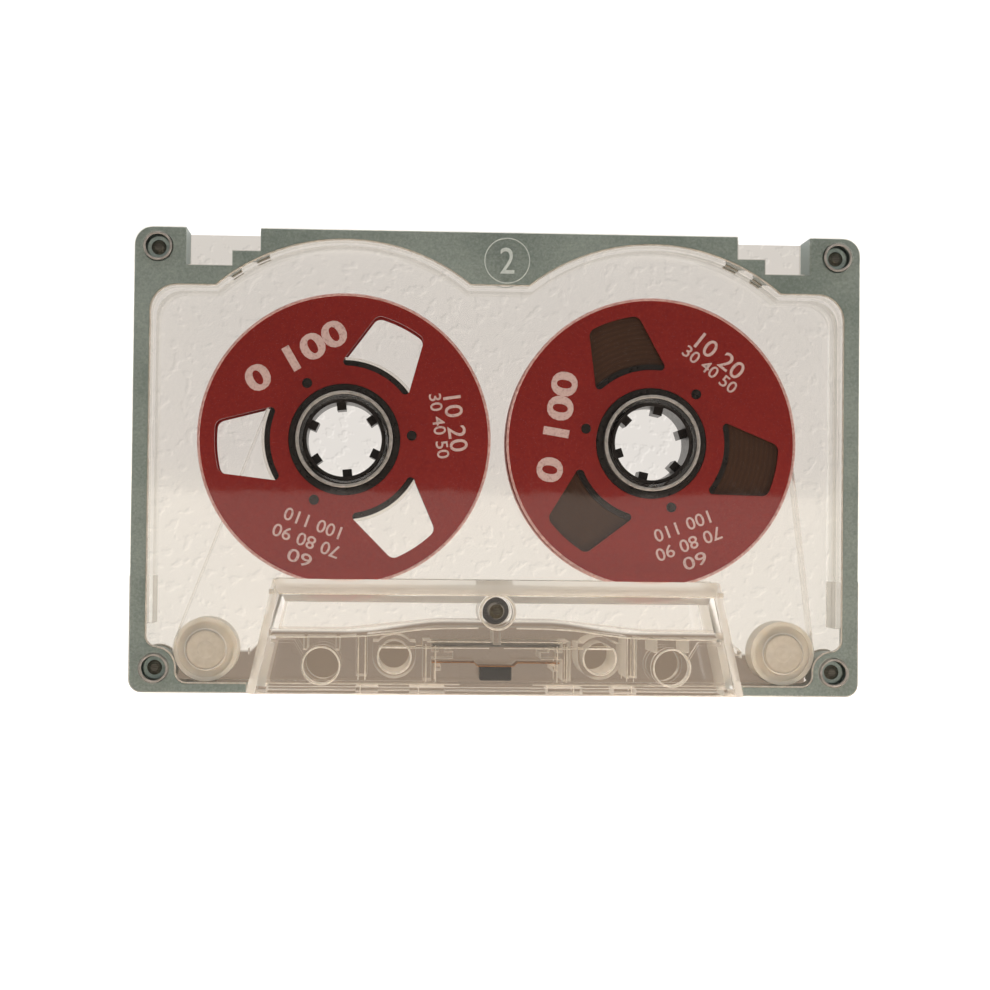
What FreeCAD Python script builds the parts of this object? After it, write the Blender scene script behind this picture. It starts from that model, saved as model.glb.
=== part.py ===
import FreeCAD, Part
import math
import os

# An audio cassette of the open-reel look, lying flat. Millimetres. X runs along the
# long side, Y towards the edge with the notches, Z up through the thickness. The
# origin is under the middle of the body, on the plane that the head block rests on.
# The upper half is the front. Both halves meet at the mid-plane.

Vector = FreeCAD.Vector

# Case. Margins lie between a reel and the edge of the case, or of the frame's opening
SKIN = 1.2
HEAD_RISE = 1.65
REEL_TO_PLATE = 0.65
TOP_MARGIN = 8.9
FOOT_MARGIN = 14.9
SIDE_MARGIN = 6.85
TOP_CORNER_R = 2.5
LOW_CORNER_R = 1.8
INNER_CORNER_R = 0.3
EDGE_FILLET_R = 0.3
HEAD_FILLET_R = 0.35
PARTING_GAP = 0.04
SEAT_GAP = 0.1
RUN_GAP = 0.05
CUT_REACH = 1.0

# Frame between the face plates
FRAME_SIDE = 2.1
FRAME_TOP = 7.8
DIP_RISE = 0.6
FRAME_FLOOR = 1.2
OPENING_CORNER_R = 3.7
GUSSET_FILLET_R = 1.6
ARC_RIM = 1.2
WEB = 1.2
RIM_WALL = 1.3
REAR_SETBACK = 0.95
BAFFLE_WALL = 0.9

# Marks of the mould in each half
MARK_RING_X = 0.9
MARK_RING_DOWN = 4.0
MARK_RING_R = 3.1
MARK_RING_WIDTH = 0.35
MARK_DEPTH = 0.15
SINK_DEPTH = 0.1
EJECTOR_X = 26.1
EJECTOR_UP = 11.7
EJECTOR_R = 1.7
SIDE_PIN_IN = 4.9
SIDE_PIN_UP = 11.0
SIDE_PIN_R = 0.8
TOP_PIN_X = 9.9
TOP_PIN_DOWN = 2.8
TOP_PIN_R = 1.1
POST_SINK_R = 1.0
TRACK_TO_ARC = 1.5
TRACK_WIDTH = 0.15
TRACK_TO_HEAD = 1.0

# Notches in the top edge, where the tabs are broken out
NOTCH_TO_SIDE = 7.0
NOTCH_DEEP_WIDTH = 6.35
NOTCH_SHALLOW_WIDTH = 3.85
NOTCH_DEEP = 5.25
NOTCH_SHALLOW = 3.2
NOTCH_WALL = 1.0

# Head block. What ends in UP is a height above the lower edge, along Y
HEAD_TO_ROLLER = 1.25
HEAD_TAPER = 3.5
HEAD_TOP_UP = 15.7
HEAD_SIDE_SLOPE = 1.2
HEAD_TOP_SLOPE = 1.9
FRONT_WALL = 1.0
CAPSTAN_X = 24.0
CAPSTAN_UP = 3.95
CAPSTAN_R = 2.4
CAPSTAN_RIM = 0.4
LEDGE_DEPTH = 1.0
LEDGE_WALL = 0.5
LEDGE_TOP_UP = 7.5
LEDGE_LOW_UP = 2.7
LEDGE_TO_SIDE = 1.2
LEDGE_SLOPE = 1.4
LEDGE_ARM = 3.7
STRUT_X = 2.2
STRUT_WIDTH = 0.5
STRUT_LOW_UP = 6.0
LOCATOR_X = 14.05
LOCATOR_UP = 5.2
LOCATOR_R = 2.15
LOCATOR_FLAT = 1.2
LOCATOR_WALL = 0.8
CENTRE_WINDOW_X = 7.1
CENTRE_POST_WIDTH = 4.8
SIDE_POST_X = 16.2
SIDE_POST_WIDTH = 3.1
END_POST_WIDTH = 2.7
GUIDE_X = 18.5
GUIDE_WIDTH = 1.5
GUIDE_TOP_UP = 8.6
GUIDE_LOW_UP = 2.5
DIVIDER_WALL = 0.9
DIVIDER_CENTRE_UP = 10.2
DIVIDER_SIDE_UP = 8.8
DIVIDER_END_UP = 6.1
DIVIDER_BEND_X = 8.0
DIVIDER_KNEE_X = 21.0
DIVIDER_SHOULDER = 3.2
DIVIDER_SIDE_GAP = 0.2
DIVIDER_BLEND_R = 12.0
BAFFLE_END_UP = 9.4

# Screws
TOP_SCREW_IN = 3.2
TOP_SCREW_DOWN = 2.75
LOW_SCREW_IN = 3.4
LOW_SCREW_UP = 3.35
MID_SCREW_UP = 11.4
SCREW_R = 1.0
SCREW_HEAD_R = 1.9
SCREW_HEAD_HEIGHT = 1.0
SCREW_TIP = 0.5
SCREW_SHORT_OF_FACE = 1.5
CROSS_WIDTH = 0.4
CROSS_LENGTH = 2.2
CROSS_DEPTH = 0.5
THREAD_GAP = 0.02
SHANK_GAP = 0.15
RECESS_GAP = 0.2
BOSS_WALL = 0.65
MID_BOSS_WALL = 0.5
WELL_DEPTH = 2.2
WELL_TUBE_WALL = 0.5
WELL_TUBE_DROP = 0.7

# Reels
REEL_GAP = 2.5
HUB_BORE_R = 5.15
HUB_RIM_DEPTH = 3.4
HUB_TUBE_WALL = 0.35
HUB_TUBE_SHORT = 0.6
HUB_COLLAR_WALL = 0.7
TOOTH_WIDTH = 1.27
TOOTH_REACH = 1.05
TOOTH_LENGTH = 4.4
TOOTH_COUNT = 6
COLLAR_BORE_GAP = 0.2
COLLAR_WALL = 0.9
COLLAR_LENGTH = 2.6
COLLAR_GAP = 0.3
COLLAR_LEAD_IN = 0.4
CLIP_ANGLE = 22.0
CLIP_BEARING = 41.0
CLIP_ROOT_WALL = 0.6
CLIP_CORNER_R = 0.3
CLIP_GAP = 0.04
TAPE_WIDTH = 3.8
TAPE_TO_FLANGE = 0.2
FLANGE_R = 20.0
FLANGE_THICKNESS = 0.4
FLANGE_GAP = 0.1
STUD_R = 0.65
WINDOW_COUNT = 3
WINDOW_HUB_LAP = 0.8
WINDOW_OUTER_RIM = 2.2
WINDOW_INNER_HALF = 4.98
WINDOW_OUTER_HALF = 3.55
WINDOW_INNER_FILLET = 0.6
WINDOW_OUTER_FILLET = 1.2
PACK_TO_RIM = 0.6
LEADER_WALL = 0.4
LEFT_WINDOW_ANGLE = 64.0
RIGHT_WINDOW_ANGLE = 108.0
LEFT_TOOTH_ANGLE = 35.5
RIGHT_TOOTH_ANGLE = 17.5

# Rollers and the tape between the reels
ROLLER_R = 4.4
ROLLER_TO_FLOOR = 0.3
ROLLER_TUCK = 0.2
ROLLER_OVER_TAPE = 0.5
ROLLER_RIM = 0.6
ROLLER_FACE_DEPTH = 0.3
ROLLER_HUB_WALL = 0.7
ROLLER_HUB_RISE = 0.2
POST_R = 2.0
POST_TIP_GAP = 0.05
POST_SHOULDER = 0.25
LEADER_THICKNESS = 0.1

# Pad, its spring and the shield
PAD_WIDTH = 5.0
PAD_DEPTH = 1.9
PAD_SHORT = 0.2
PAD_TO_TAPE = 0.375
PAD_TRAVEL = 0.5
SPRING_THICKNESS = 0.15
SPRING_SHORT = 0.4
SPRING_JOGGLE = 0.5
SPRING_CORNER_R = 0.3
SPRING_END_GAP = 0.15
SPRING_POST_X = 9.0
SPRING_POST_WIDTH = 1.1
SPRING_POST_TOP_UP = 7.4
SPRING_POST_LOW_UP = 2.0
ARM_LENGTH = 3.0
ARM_DEPTH = 0.9
PIN_TO_POST = 0.65
PIN_SIZE = 0.7
PIN_GAP = 0.2
SHIELD_END_GAP = 0.2
SHIELD_TO_ARM = 0.675
SHIELD_THICKNESS = 0.3
SHIELD_HEIGHT = 5.6
SHIELD_STOP_IN = 1.0
SHIELD_STOP_WIDTH = 0.8
SHIELD_RIB_WIDTH = 1.0

# Sizes and places of the case that follow from the reels
BODY_HALF = TAPE_WIDTH / 2 + TAPE_TO_FLANGE + FLANGE_THICKNESS + REEL_TO_PLATE + SKIN
HEAD_THICKNESS = 2 * (BODY_HALF + HEAD_RISE)
MID = HEAD_THICKNESS / 2
BODY_TOP = MID + BODY_HALF
BODY_IN = BODY_TOP - SKIN
HEAD_IN = HEAD_THICKNESS - SKIN
HUB_X = FLANGE_R + REEL_GAP / 2
EDGE_X = HUB_X + FLANGE_R + SIDE_MARGIN + FRAME_SIDE
EDGE_Y = (TOP_MARGIN + 2 * FLANGE_R + FOOT_MARGIN) / 2
HUB_Y = EDGE_Y - TOP_MARGIN - FLANGE_R
ARC_R = FLANGE_R + TOP_MARGIN - ARC_RIM
FLOOR_Y = FRAME_FLOOR - EDGE_Y
BAFFLE_END_Y = BAFFLE_END_UP - EDGE_Y
MARK_RING_Y = EDGE_Y - MARK_RING_DOWN
NOTCH_OUTER_X = EDGE_X - NOTCH_TO_SIDE
NOTCH_STEP_X = NOTCH_OUTER_X - NOTCH_DEEP_WIDTH
NOTCH_INNER_X = NOTCH_STEP_X - NOTCH_SHALLOW_WIDTH

# Screws, rollers and head block
RECESS_R = SCREW_HEAD_R + RECESS_GAP
BOSS_R = RECESS_R + BOSS_WALL
MID_BOSS_R = RECESS_R + MID_BOSS_WALL
TOP_SCREW_X = EDGE_X - TOP_SCREW_IN
TOP_SCREW_Y = EDGE_Y - TOP_SCREW_DOWN
LOW_SCREW_X = EDGE_X - LOW_SCREW_IN
LOW_SCREW_Y = LOW_SCREW_UP - EDGE_Y
MID_SCREW_Y = MID_SCREW_UP - EDGE_Y
ROLLER_X = LOW_SCREW_X - BOSS_R - ROLLER_R + ROLLER_TUCK
ROLLER_Y = FLOOR_Y + ROLLER_TO_FLOOR + ROLLER_R
ROLLER_TOP = MID + TAPE_WIDTH / 2 + ROLLER_OVER_TAPE
ROLLER_HUB_R = POST_R + RUN_GAP + ROLLER_HUB_WALL
HEAD_LOW_X = ROLLER_X - ROLLER_R - HEAD_TO_ROLLER
HEAD_TOP_Y = HEAD_TOP_UP - EDGE_Y
CAPSTAN_Y = CAPSTAN_UP - EDGE_Y
LOCATOR_Y = LOCATOR_UP - EDGE_Y
DIVIDER_CENTRE_Y = DIVIDER_CENTRE_UP - EDGE_Y
DIVIDER_SIDE_Y = DIVIDER_SIDE_UP - EDGE_Y
DIVIDER_END_Y = DIVIDER_END_UP - EDGE_Y
DIVIDER_SHOULDER_X = HEAD_LOW_X - DIVIDER_SHOULDER
DIVIDER_END_X = HEAD_LOW_X - DIVIDER_SIDE_GAP

# Hubs and tape
HUB_TOP = MID + TAPE_WIDTH / 2 + TAPE_TO_FLANGE
FLANGE_TOP = HUB_TOP + FLANGE_THICKNESS
HUB_TUBE_R = HUB_BORE_R + HUB_TUBE_WALL
COLLAR_R = HUB_TUBE_R + COLLAR_BORE_GAP
COLLAR_OUTER_R = COLLAR_R + COLLAR_WALL
COLLAR_LOW = BODY_TOP - COLLAR_LENGTH
HUB_GROOVE_R = COLLAR_OUTER_R + COLLAR_GAP
HUB_RIM_R = HUB_GROOVE_R + HUB_COLLAR_WALL
HUB_R = HUB_RIM_R + HUB_RIM_DEPTH
HUB_WEB_TOP = COLLAR_LOW - COLLAR_GAP
TOOTH_TIP_R = HUB_BORE_R - TOOTH_REACH
STUD_CIRCLE_R = (HUB_RIM_R + HUB_R) / 2
WINDOW_INNER_R = HUB_R - WINDOW_HUB_LAP
WINDOW_OUTER_R = FLANGE_R - WINDOW_OUTER_RIM
PACK_R = FLANGE_R - PACK_TO_RIM
LEADER_RING_R = HUB_R + LEADER_WALL
TAPE_LOW = MID - TAPE_WIDTH / 2
TAPE_HIGH = MID + TAPE_WIDTH / 2

# Pad and shield, behind the straight run of the tape
RUN_Y = ROLLER_Y - ROLLER_R - RUN_GAP
PAD_BACK_Y = RUN_Y + PAD_TO_TAPE + PAD_DEPTH
SPRING_FRONT_Y = PAD_BACK_Y + SPRING_JOGGLE
SPRING_BACK_Y = SPRING_FRONT_Y + SPRING_THICKNESS
ARM_FRONT_Y = SPRING_BACK_Y + PAD_TRAVEL + SEAT_GAP
SHIELD_FRONT_Y = ARM_FRONT_Y + ARM_DEPTH + SHIELD_TO_ARM
SHIELD_Y = SHIELD_FRONT_Y + SHIELD_THICKNESS
SPRING_END_X = SPRING_POST_X - SPRING_END_GAP
SHIELD_X = SPRING_POST_X - SHIELD_END_GAP

# Heights closer than this are the same when edges are picked
SAME_HEIGHT = 0.001

CORNER_SCREWS = (
    (-TOP_SCREW_X, TOP_SCREW_Y),
    (TOP_SCREW_X, TOP_SCREW_Y),
    (-LOW_SCREW_X, LOW_SCREW_Y),
    (LOW_SCREW_X, LOW_SCREW_Y),
)


def outline(corners, z):
    """Closed wire at height z through the (x, y, radius) corners, each rounded."""
    spots = [Vector(x, y, z) for x, y, _ in corners]
    arcs = []
    for i, (_, _, radius) in enumerate(corners):
        corner = spots[i]
        back = (spots[i - 1] - corner).normalize()
        onward = (spots[(i + 1) % len(spots)] - corner).normalize()
        half = back.getAngle(onward) / 2
        reach = radius / math.tan(half)
        inward = (back + onward).normalize() * (radius / math.sin(half) - radius)
        arcs.append((corner + back * reach, corner + inward, corner + onward * reach))
    edges = []
    for i, (start, middle, end) in enumerate(arcs):
        if corners[i][2]:
            edges.append(Part.Arc(start, middle, end).toShape())
        following = arcs[(i + 1) % len(arcs)][0]
        if end.distanceToPoint(following) > 1e-6:
            edges.append(Part.LineSegment(end, following).toShape())
    return Part.Wire(edges)


def prism(corners, low, high):
    """Solid between two heights whose section is the rounded outline."""
    return Part.Face(outline(corners, low)).extrude(Vector(0, 0, high - low))


def block(x_low, x_high, y_low, y_high, low, high):
    corner = Vector(x_low, y_low, low)
    return Part.makeBox(x_high - x_low, y_high - y_low, high - low, corner)


def rod(x, y, radius, low, high):
    return Part.makeCylinder(radius, high - low, Vector(x, y, low))


def tube(x, y, inner, outer, low, high):
    return rod(x, y, outer, low, high).cut(rod(x, y, inner, low, high))


def turned(profile, x, y):
    """Solid of revolution about the vertical axis at x, y from (radius, z) points."""
    points = [Vector(radius, 0, z) for radius, z in profile]
    face = Part.Face(Part.makePolygon(points + points[:1]))
    body = face.revolve(Vector(0, 0, 0), Vector(0, 0, 1), 360)
    body.translate(Vector(x, y, 0))
    return body


def spun(shape, x, y, angle):
    """Copy of the shape turned about the vertical axis at x, y."""
    copy = shape.copy()
    copy.rotate(Vector(x, y, 0), Vector(0, 0, 1), angle)
    return copy


def both_sides(shape):
    """The shape and its mirror image in the plane X = 0."""
    return [shape, shape.mirror(Vector(0, 0, 0), Vector(1, 0, 0))]


def to_rear(shape):
    """Mirror image in the mid-plane, where the two halves of the case meet."""
    return shape.mirror(Vector(0, 0, MID), Vector(0, 0, 1))


def joined(shapes):
    shapes = list(shapes)
    return shapes[0].fuse(shapes[1:]).removeSplitter()


def frustum(lower, upper):
    """Solid with flat sides between two level outlines of as many corners."""
    faces = [Part.Face(Part.makePolygon(ring + ring[:1])) for ring in (lower, upper)]
    for i in range(len(lower)):
        j = (i + 1) % len(lower)
        side = [lower[i], lower[j], upper[j], upper[i], lower[i]]
        faces.append(Part.Face(Part.makePolygon(side)))
    return Part.Solid(Part.makeShell(faces))


def rounded(shape, radius, z):
    """The shape with all its edges at this height rounded."""
    edges = []
    for edge in shape.Edges:
        if max(abs(vertex.Z - z) for vertex in edge.Vertexes) < SAME_HEIGHT:
            edges.append(edge)
    return shape.makeFillet(radius, edges)


def case_prism(inset, low, high):
    """The body's outline, taken in all round."""
    x = EDGE_X - inset
    y = EDGE_Y - inset
    low_r = max(LOW_CORNER_R - inset, INNER_CORNER_R)
    top_r = max(TOP_CORNER_R - inset, INNER_CORNER_R)
    corners = [(-x, -y, low_r), (x, -y, low_r), (x, y, top_r), (-x, y, top_r)]
    return prism(corners, low, high)


def head_frustum(inset, low, high):
    """The raised head block, with sloped sides and step, taken in by a wall."""
    rise = HEAD_THICKNESS - BODY_TOP
    taper = HEAD_TAPER / HEAD_TOP_UP

    def level(z):
        share = (z + inset - BODY_TOP) / rise
        top_y = HEAD_TOP_Y - HEAD_TOP_SLOPE * share - inset
        low_y = -EDGE_Y + (FRONT_WALL if inset else 0)
        foot_x = HEAD_LOW_X - HEAD_SIDE_SLOPE * share - inset
        low_x = foot_x - taper * (low_y + EDGE_Y)
        top_x = foot_x - taper * (top_y + EDGE_Y)
        return [
            Vector(-low_x, low_y, z),
            Vector(low_x, low_y, z),
            Vector(top_x, top_y, z),
            Vector(-top_x, top_y, z),
        ]

    return frustum(level(low), level(high))


def opening(grow, low, high):
    """The frame's inner outline: straight sides, an arc over each reel, a gusset in
    each lower corner that goes round the screw boss."""
    side = EDGE_X - FRAME_SIDE + grow
    top = EDGE_Y - FRAME_TOP + grow
    gusset_x = LOW_SCREW_X - BOSS_R + grow
    gusset_y = LOW_SCREW_Y + BOSS_R - grow
    half = [
        (gusset_x, FLOOR_Y, GUSSET_FILLET_R),
        (gusset_x, gusset_y, BOSS_R - grow),
        (side, gusset_y, GUSSET_FILLET_R),
        (side, top, OPENING_CORNER_R),
    ]
    corners = half + [(-x, y, radius) for x, y, radius in reversed(half)]
    space = prism(corners, low, high)
    reels = joined(both_sides(rod(HUB_X, HUB_Y, ARC_R + grow, low, high)))
    reels = reels.common(block(-side, side, FLOOR_Y, EDGE_Y, low, high))
    dip = block(-HUB_X, HUB_X, HUB_Y, top + DIP_RISE, low, high)
    return joined([space, reels, dip])


def notches(wall):
    """The cut-outs in the top edge on both sides, grown by a wall."""
    top = EDGE_Y + wall + CUT_REACH
    deep_y = EDGE_Y - NOTCH_DEEP - wall
    shallow_y = EDGE_Y - NOTCH_SHALLOW - wall
    reach = (-CUT_REACH, HEAD_THICKNESS + CUT_REACH)
    deep = block(NOTCH_STEP_X - wall, NOTCH_OUTER_X + wall, deep_y, top, *reach)
    shallow = block(NOTCH_INNER_X - wall, NOTCH_STEP_X, shallow_y, top, *reach)
    return joined(both_sides(deep.fuse(shallow)))


def locator(grow, low, high):
    """D-shaped locating hole, flat on the side of the reels."""
    round_end = rod(LOCATOR_X, LOCATOR_Y, LOCATOR_R + grow, low, high)
    x_low = LOCATOR_X - LOCATOR_R - grow
    x_high = LOCATOR_X + LOCATOR_R + grow
    flat_y = LOCATOR_Y + LOCATOR_FLAT + grow
    return round_end.fuse(block(x_low, x_high, LOCATOR_Y, flat_y, low, high))


def divider():
    """The wall between the reels' space and the head space, gently bent."""
    half = [
        (DIVIDER_BEND_X, DIVIDER_CENTRE_Y, DIVIDER_BLEND_R),
        (DIVIDER_KNEE_X, DIVIDER_SIDE_Y, DIVIDER_BLEND_R),
        (DIVIDER_SHOULDER_X, DIVIDER_SIDE_Y, DIVIDER_WALL),
        (DIVIDER_END_X, DIVIDER_END_Y, 0),
    ]
    upper = [(-x, y, radius) for x, y, radius in reversed(half)] + half
    lower = [(x, y - DIVIDER_WALL, radius) for x, y, radius in reversed(upper)]
    return prism(upper + lower, MID, HEAD_IN)


def ledge():
    """Low rib under the plate, from the side wall round to the capstan hole."""
    side_x = HEAD_LOW_X - LEDGE_TO_SIDE
    knee_x = side_x - LEDGE_SLOPE
    arm_x = CAPSTAN_X + LEDGE_ARM
    rim_x = CAPSTAN_X + CAPSTAN_R
    low_y = LEDGE_LOW_UP - EDGE_Y
    top_y = LEDGE_TOP_UP - EDGE_Y
    corners = [
        (side_x, low_y, 0),
        (knee_x, top_y, LEDGE_WALL),
        (arm_x, top_y, LEDGE_WALL),
        (rim_x, CAPSTAN_Y + LEDGE_SLOPE, 0),
        (rim_x, CAPSTAN_Y + LEDGE_SLOPE - LEDGE_WALL, 0),
        (arm_x, top_y - LEDGE_WALL, 0),
        (knee_x - LEDGE_WALL, top_y - LEDGE_WALL, 0),
        (side_x - LEDGE_WALL, low_y, 0),
    ]
    return prism(corners, HEAD_IN - LEDGE_DEPTH, HEAD_IN)


def upright(x_low, width, low_up, top_up):
    """Wall of the head block between two heights above the lower edge."""
    return block(x_low, x_low + width, low_up - EDGE_Y, top_up - EDGE_Y, MID, HEAD_IN)


def head_ribs():
    """What stands inside the head block of one half, up to the mid-plane."""
    ribs = [divider()]
    spans = (MID, HEAD_IN)
    sided = []
    for x_low, width in (
        (CENTRE_WINDOW_X, CENTRE_POST_WIDTH),
        (SIDE_POST_X, SIDE_POST_WIDTH),
        (HEAD_LOW_X - END_POST_WIDTH, END_POST_WIDTH),
    ):
        sided.append(upright(x_low, width, 0, FRONT_WALL))
    guide_low = GUIDE_X - GUIDE_WIDTH / 2
    sided.append(upright(guide_low, GUIDE_WIDTH, GUIDE_LOW_UP, GUIDE_TOP_UP))
    sided.append(locator(LOCATOR_WALL, *spans))
    for x in (CAPSTAN_X - STRUT_X, CAPSTAN_X + STRUT_X):
        strut_x = x - STRUT_WIDTH / 2
        sided.append(upright(strut_x, STRUT_WIDTH, STRUT_LOW_UP, DIVIDER_SIDE_UP))
    rim_r = CAPSTAN_R + CAPSTAN_RIM
    sided.append(rod(CAPSTAN_X, CAPSTAN_Y, rim_r, HEAD_IN - LEDGE_DEPTH, HEAD_IN))
    sided.append(ledge())
    post = (SPRING_POST_WIDTH, SPRING_POST_LOW_UP, SPRING_POST_TOP_UP)
    sided.append(upright(SPRING_POST_X, *post))
    arm_back_y = ARM_FRONT_Y + ARM_DEPTH
    arm_x = SPRING_POST_X - ARM_LENGTH
    sided.append(block(arm_x, SPRING_POST_X, ARM_FRONT_Y, arm_back_y, *spans))
    pin_top_y = SPRING_FRONT_Y - PIN_GAP
    pin_x = SPRING_POST_X - PIN_TO_POST
    pin = block(pin_x - PIN_SIZE, pin_x, pin_top_y - PIN_SIZE, pin_top_y, *spans)
    sided.append(pin)
    stop_x = SPRING_POST_X - SHIELD_STOP_IN
    stop = (ARM_FRONT_Y, SHIELD_FRONT_Y - SEAT_GAP)
    sided.append(block(stop_x - SHIELD_STOP_WIDTH, stop_x, *stop, *spans))
    for shape in sided:
        ribs += both_sides(shape)
    rib = SHIELD_RIB_WIDTH / 2
    ribs.append(block(-rib, rib, SHIELD_Y + SEAT_GAP, MID_SCREW_Y, *spans))
    ribs.append(rod(0, MID_SCREW_Y, MID_BOSS_R, *spans))
    return ribs


def roller_post():
    """Moulded post of one half, with the shoulder that the roller runs against."""
    top = BODY_IN + SKIN / 2
    post = rod(ROLLER_X, ROLLER_Y, POST_R, MID + POST_TIP_GAP, top)
    shoulder = BODY_IN - POST_SHOULDER
    return post.fuse(rod(ROLLER_X, ROLLER_Y, ROLLER_HUB_R, shoulder, top))


def mould_marks():
    """Shallow marks in the plate: ring for the side's number, ejector pins, sinks
    over the roller posts and the track round each reel."""
    mark_low = MARK_RING_R - MARK_RING_WIDTH
    ring = (mark_low, MARK_RING_R, BODY_TOP - MARK_DEPTH, BODY_TOP)
    marks = [tube(MARK_RING_X, MARK_RING_Y, *ring)]
    sunk = BODY_TOP - SINK_DEPTH
    marks.append(rod(TOP_PIN_X, EDGE_Y - TOP_PIN_DOWN, TOP_PIN_R, sunk, BODY_TOP))
    marks += both_sides(rod(ROLLER_X, ROLLER_Y, POST_SINK_R, sunk, BODY_TOP))
    ejector = (EJECTOR_UP - EDGE_Y, EJECTOR_R, HEAD_IN, HEAD_IN + SINK_DEPTH)
    marks += both_sides(rod(EJECTOR_X, *ejector))
    pin = (SIDE_PIN_UP - EDGE_Y, SIDE_PIN_R, BODY_IN, BODY_IN + SINK_DEPTH)
    marks += both_sides(rod(EDGE_X - SIDE_PIN_IN, *pin))
    track_r = ARC_R - TRACK_TO_ARC
    track = (track_r - TRACK_WIDTH, track_r, BODY_IN, BODY_IN + SINK_DEPTH)
    reach = (HEAD_TOP_Y + TRACK_TO_HEAD, EDGE_Y, BODY_IN, BODY_TOP)
    above_head = block(-EDGE_X, EDGE_X, *reach)
    marks += both_sides(tube(HUB_X, HUB_Y, *track).common(above_head))
    return marks


def collar_lead_in():
    """Cone that takes the sharp edge off a collar's bore."""
    low = BODY_TOP - COLLAR_LEAD_IN
    profile = [
        (0, low),
        (COLLAR_R, low),
        (COLLAR_R + COLLAR_LEAD_IN, BODY_TOP),
        (0, BODY_TOP),
    ]
    return turned(profile, HUB_X, HUB_Y)


def shell_half(screw_hole_r):
    """One clear half: face plate, head block, collars, baffle, posts and ribs."""
    head_floor = BODY_TOP - SKIN / 2
    body = rounded(case_prism(0, BODY_IN, BODY_TOP), EDGE_FILLET_R, BODY_TOP)
    sill = (-EDGE_Y, FRONT_WALL - EDGE_Y, BODY_IN, BODY_TOP)
    sill_block = block(-HEAD_LOW_X, HEAD_LOW_X, *sill)
    body = joined([body, sill_block, head_frustum(0, BODY_TOP, HEAD_THICKNESS)])
    body = rounded(body, HEAD_FILLET_R, HEAD_THICKNESS)
    body = body.cut(head_frustum(SKIN, BODY_IN, HEAD_IN))
    body = body.cut(notches(0))
    envelope = case_prism(0, MID, BODY_TOP)
    envelope = envelope.fuse(head_frustum(0, BODY_TOP, HEAD_THICKNESS))
    ribs = [rib.common(envelope) for rib in head_ribs()]
    baffle = opening(-SEAT_GAP, MID, head_floor)
    baffle = baffle.cut(opening(-SEAT_GAP - BAFFLE_WALL, MID, head_floor))
    reach = block(-EDGE_X, EDGE_X, BAFFLE_END_Y, EDGE_Y, MID, head_floor)
    ribs.append(baffle.common(reach))
    ribs += both_sides(roller_post())
    collar = rod(HUB_X, HUB_Y, COLLAR_OUTER_R, COLLAR_LOW, BODY_TOP)
    ribs += both_sides(collar)
    body = joined([body] + ribs)
    holes = both_sides(rod(HUB_X, HUB_Y, COLLAR_R, 0, HEAD_THICKNESS))
    holes += both_sides(collar_lead_in())
    holes += both_sides(rod(CAPSTAN_X, CAPSTAN_Y, CAPSTAN_R, 0, HEAD_THICKNESS))
    holes += both_sides(locator(0, 0, HEAD_THICKNESS))
    for x, y in CORNER_SCREWS:
        holes.append(rod(x, y, RECESS_R, BODY_IN, BODY_TOP))
    holes.append(rod(0, MID_SCREW_Y, RECESS_R, BODY_IN, HEAD_THICKNESS))
    holes.append(rod(0, MID_SCREW_Y, screw_hole_r, MID, BODY_IN))
    holes.append(block(-EDGE_X, EDGE_X, -EDGE_Y, EDGE_Y, MID, MID + PARTING_GAP / 2))
    return body.cut(holes + mould_marks()).removeSplitter()


def frame_half(grow, screw_hole_r):
    """One half of the opaque frame: a rim, a web under the plate, bosses for the
    corner screws and walls round the notches."""
    rim = case_prism(0, MID, BODY_IN).cut(case_prism(RIM_WALL, MID, BODY_IN))
    web = case_prism(0, BODY_IN - WEB, BODY_IN)
    body = rim.fuse(web).cut(opening(grow, MID, BODY_IN))
    envelope = case_prism(0, MID, BODY_IN)
    stiffeners = [notches(NOTCH_WALL).cut(opening(0, MID, BODY_IN))]
    stiffeners += [rod(x, y, BOSS_R, MID, BODY_IN) for x, y in CORNER_SCREWS]
    body = joined([body] + [shape.common(envelope) for shape in stiffeners])
    head_x = HEAD_LOW_X + SEAT_GAP
    cuts = [notches(0)]
    cuts.append(block(-head_x, head_x, -EDGE_Y, HEAD_TOP_Y, MID, BODY_IN))
    cuts += [rod(x, y, screw_hole_r, MID, BODY_IN) for x, y in CORNER_SCREWS]
    return body.cut(cuts).removeSplitter()


def front_shell():
    return shell_half(SCREW_R + THREAD_GAP)


def rear_shell():
    return to_rear(shell_half(SCREW_R + SHANK_GAP))


def front_frame():
    """The front half has a well at each corner, with the tube that the screw bites
    into standing in it."""
    tube_r = SCREW_R + THREAD_GAP + WELL_TUBE_WALL
    wells = []
    for x, y in CORNER_SCREWS:
        wells.append(tube(x, y, tube_r, RECESS_R, BODY_IN - WELL_DEPTH, BODY_IN))
        wells.append(rod(x, y, tube_r, BODY_IN - WELL_TUBE_DROP, BODY_IN))
    return frame_half(0, SCREW_R + THREAD_GAP).cut(wells).removeSplitter()


def rear_frame():
    return to_rear(frame_half(REAR_SETBACK, SCREW_R + SHANK_GAP))


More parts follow.
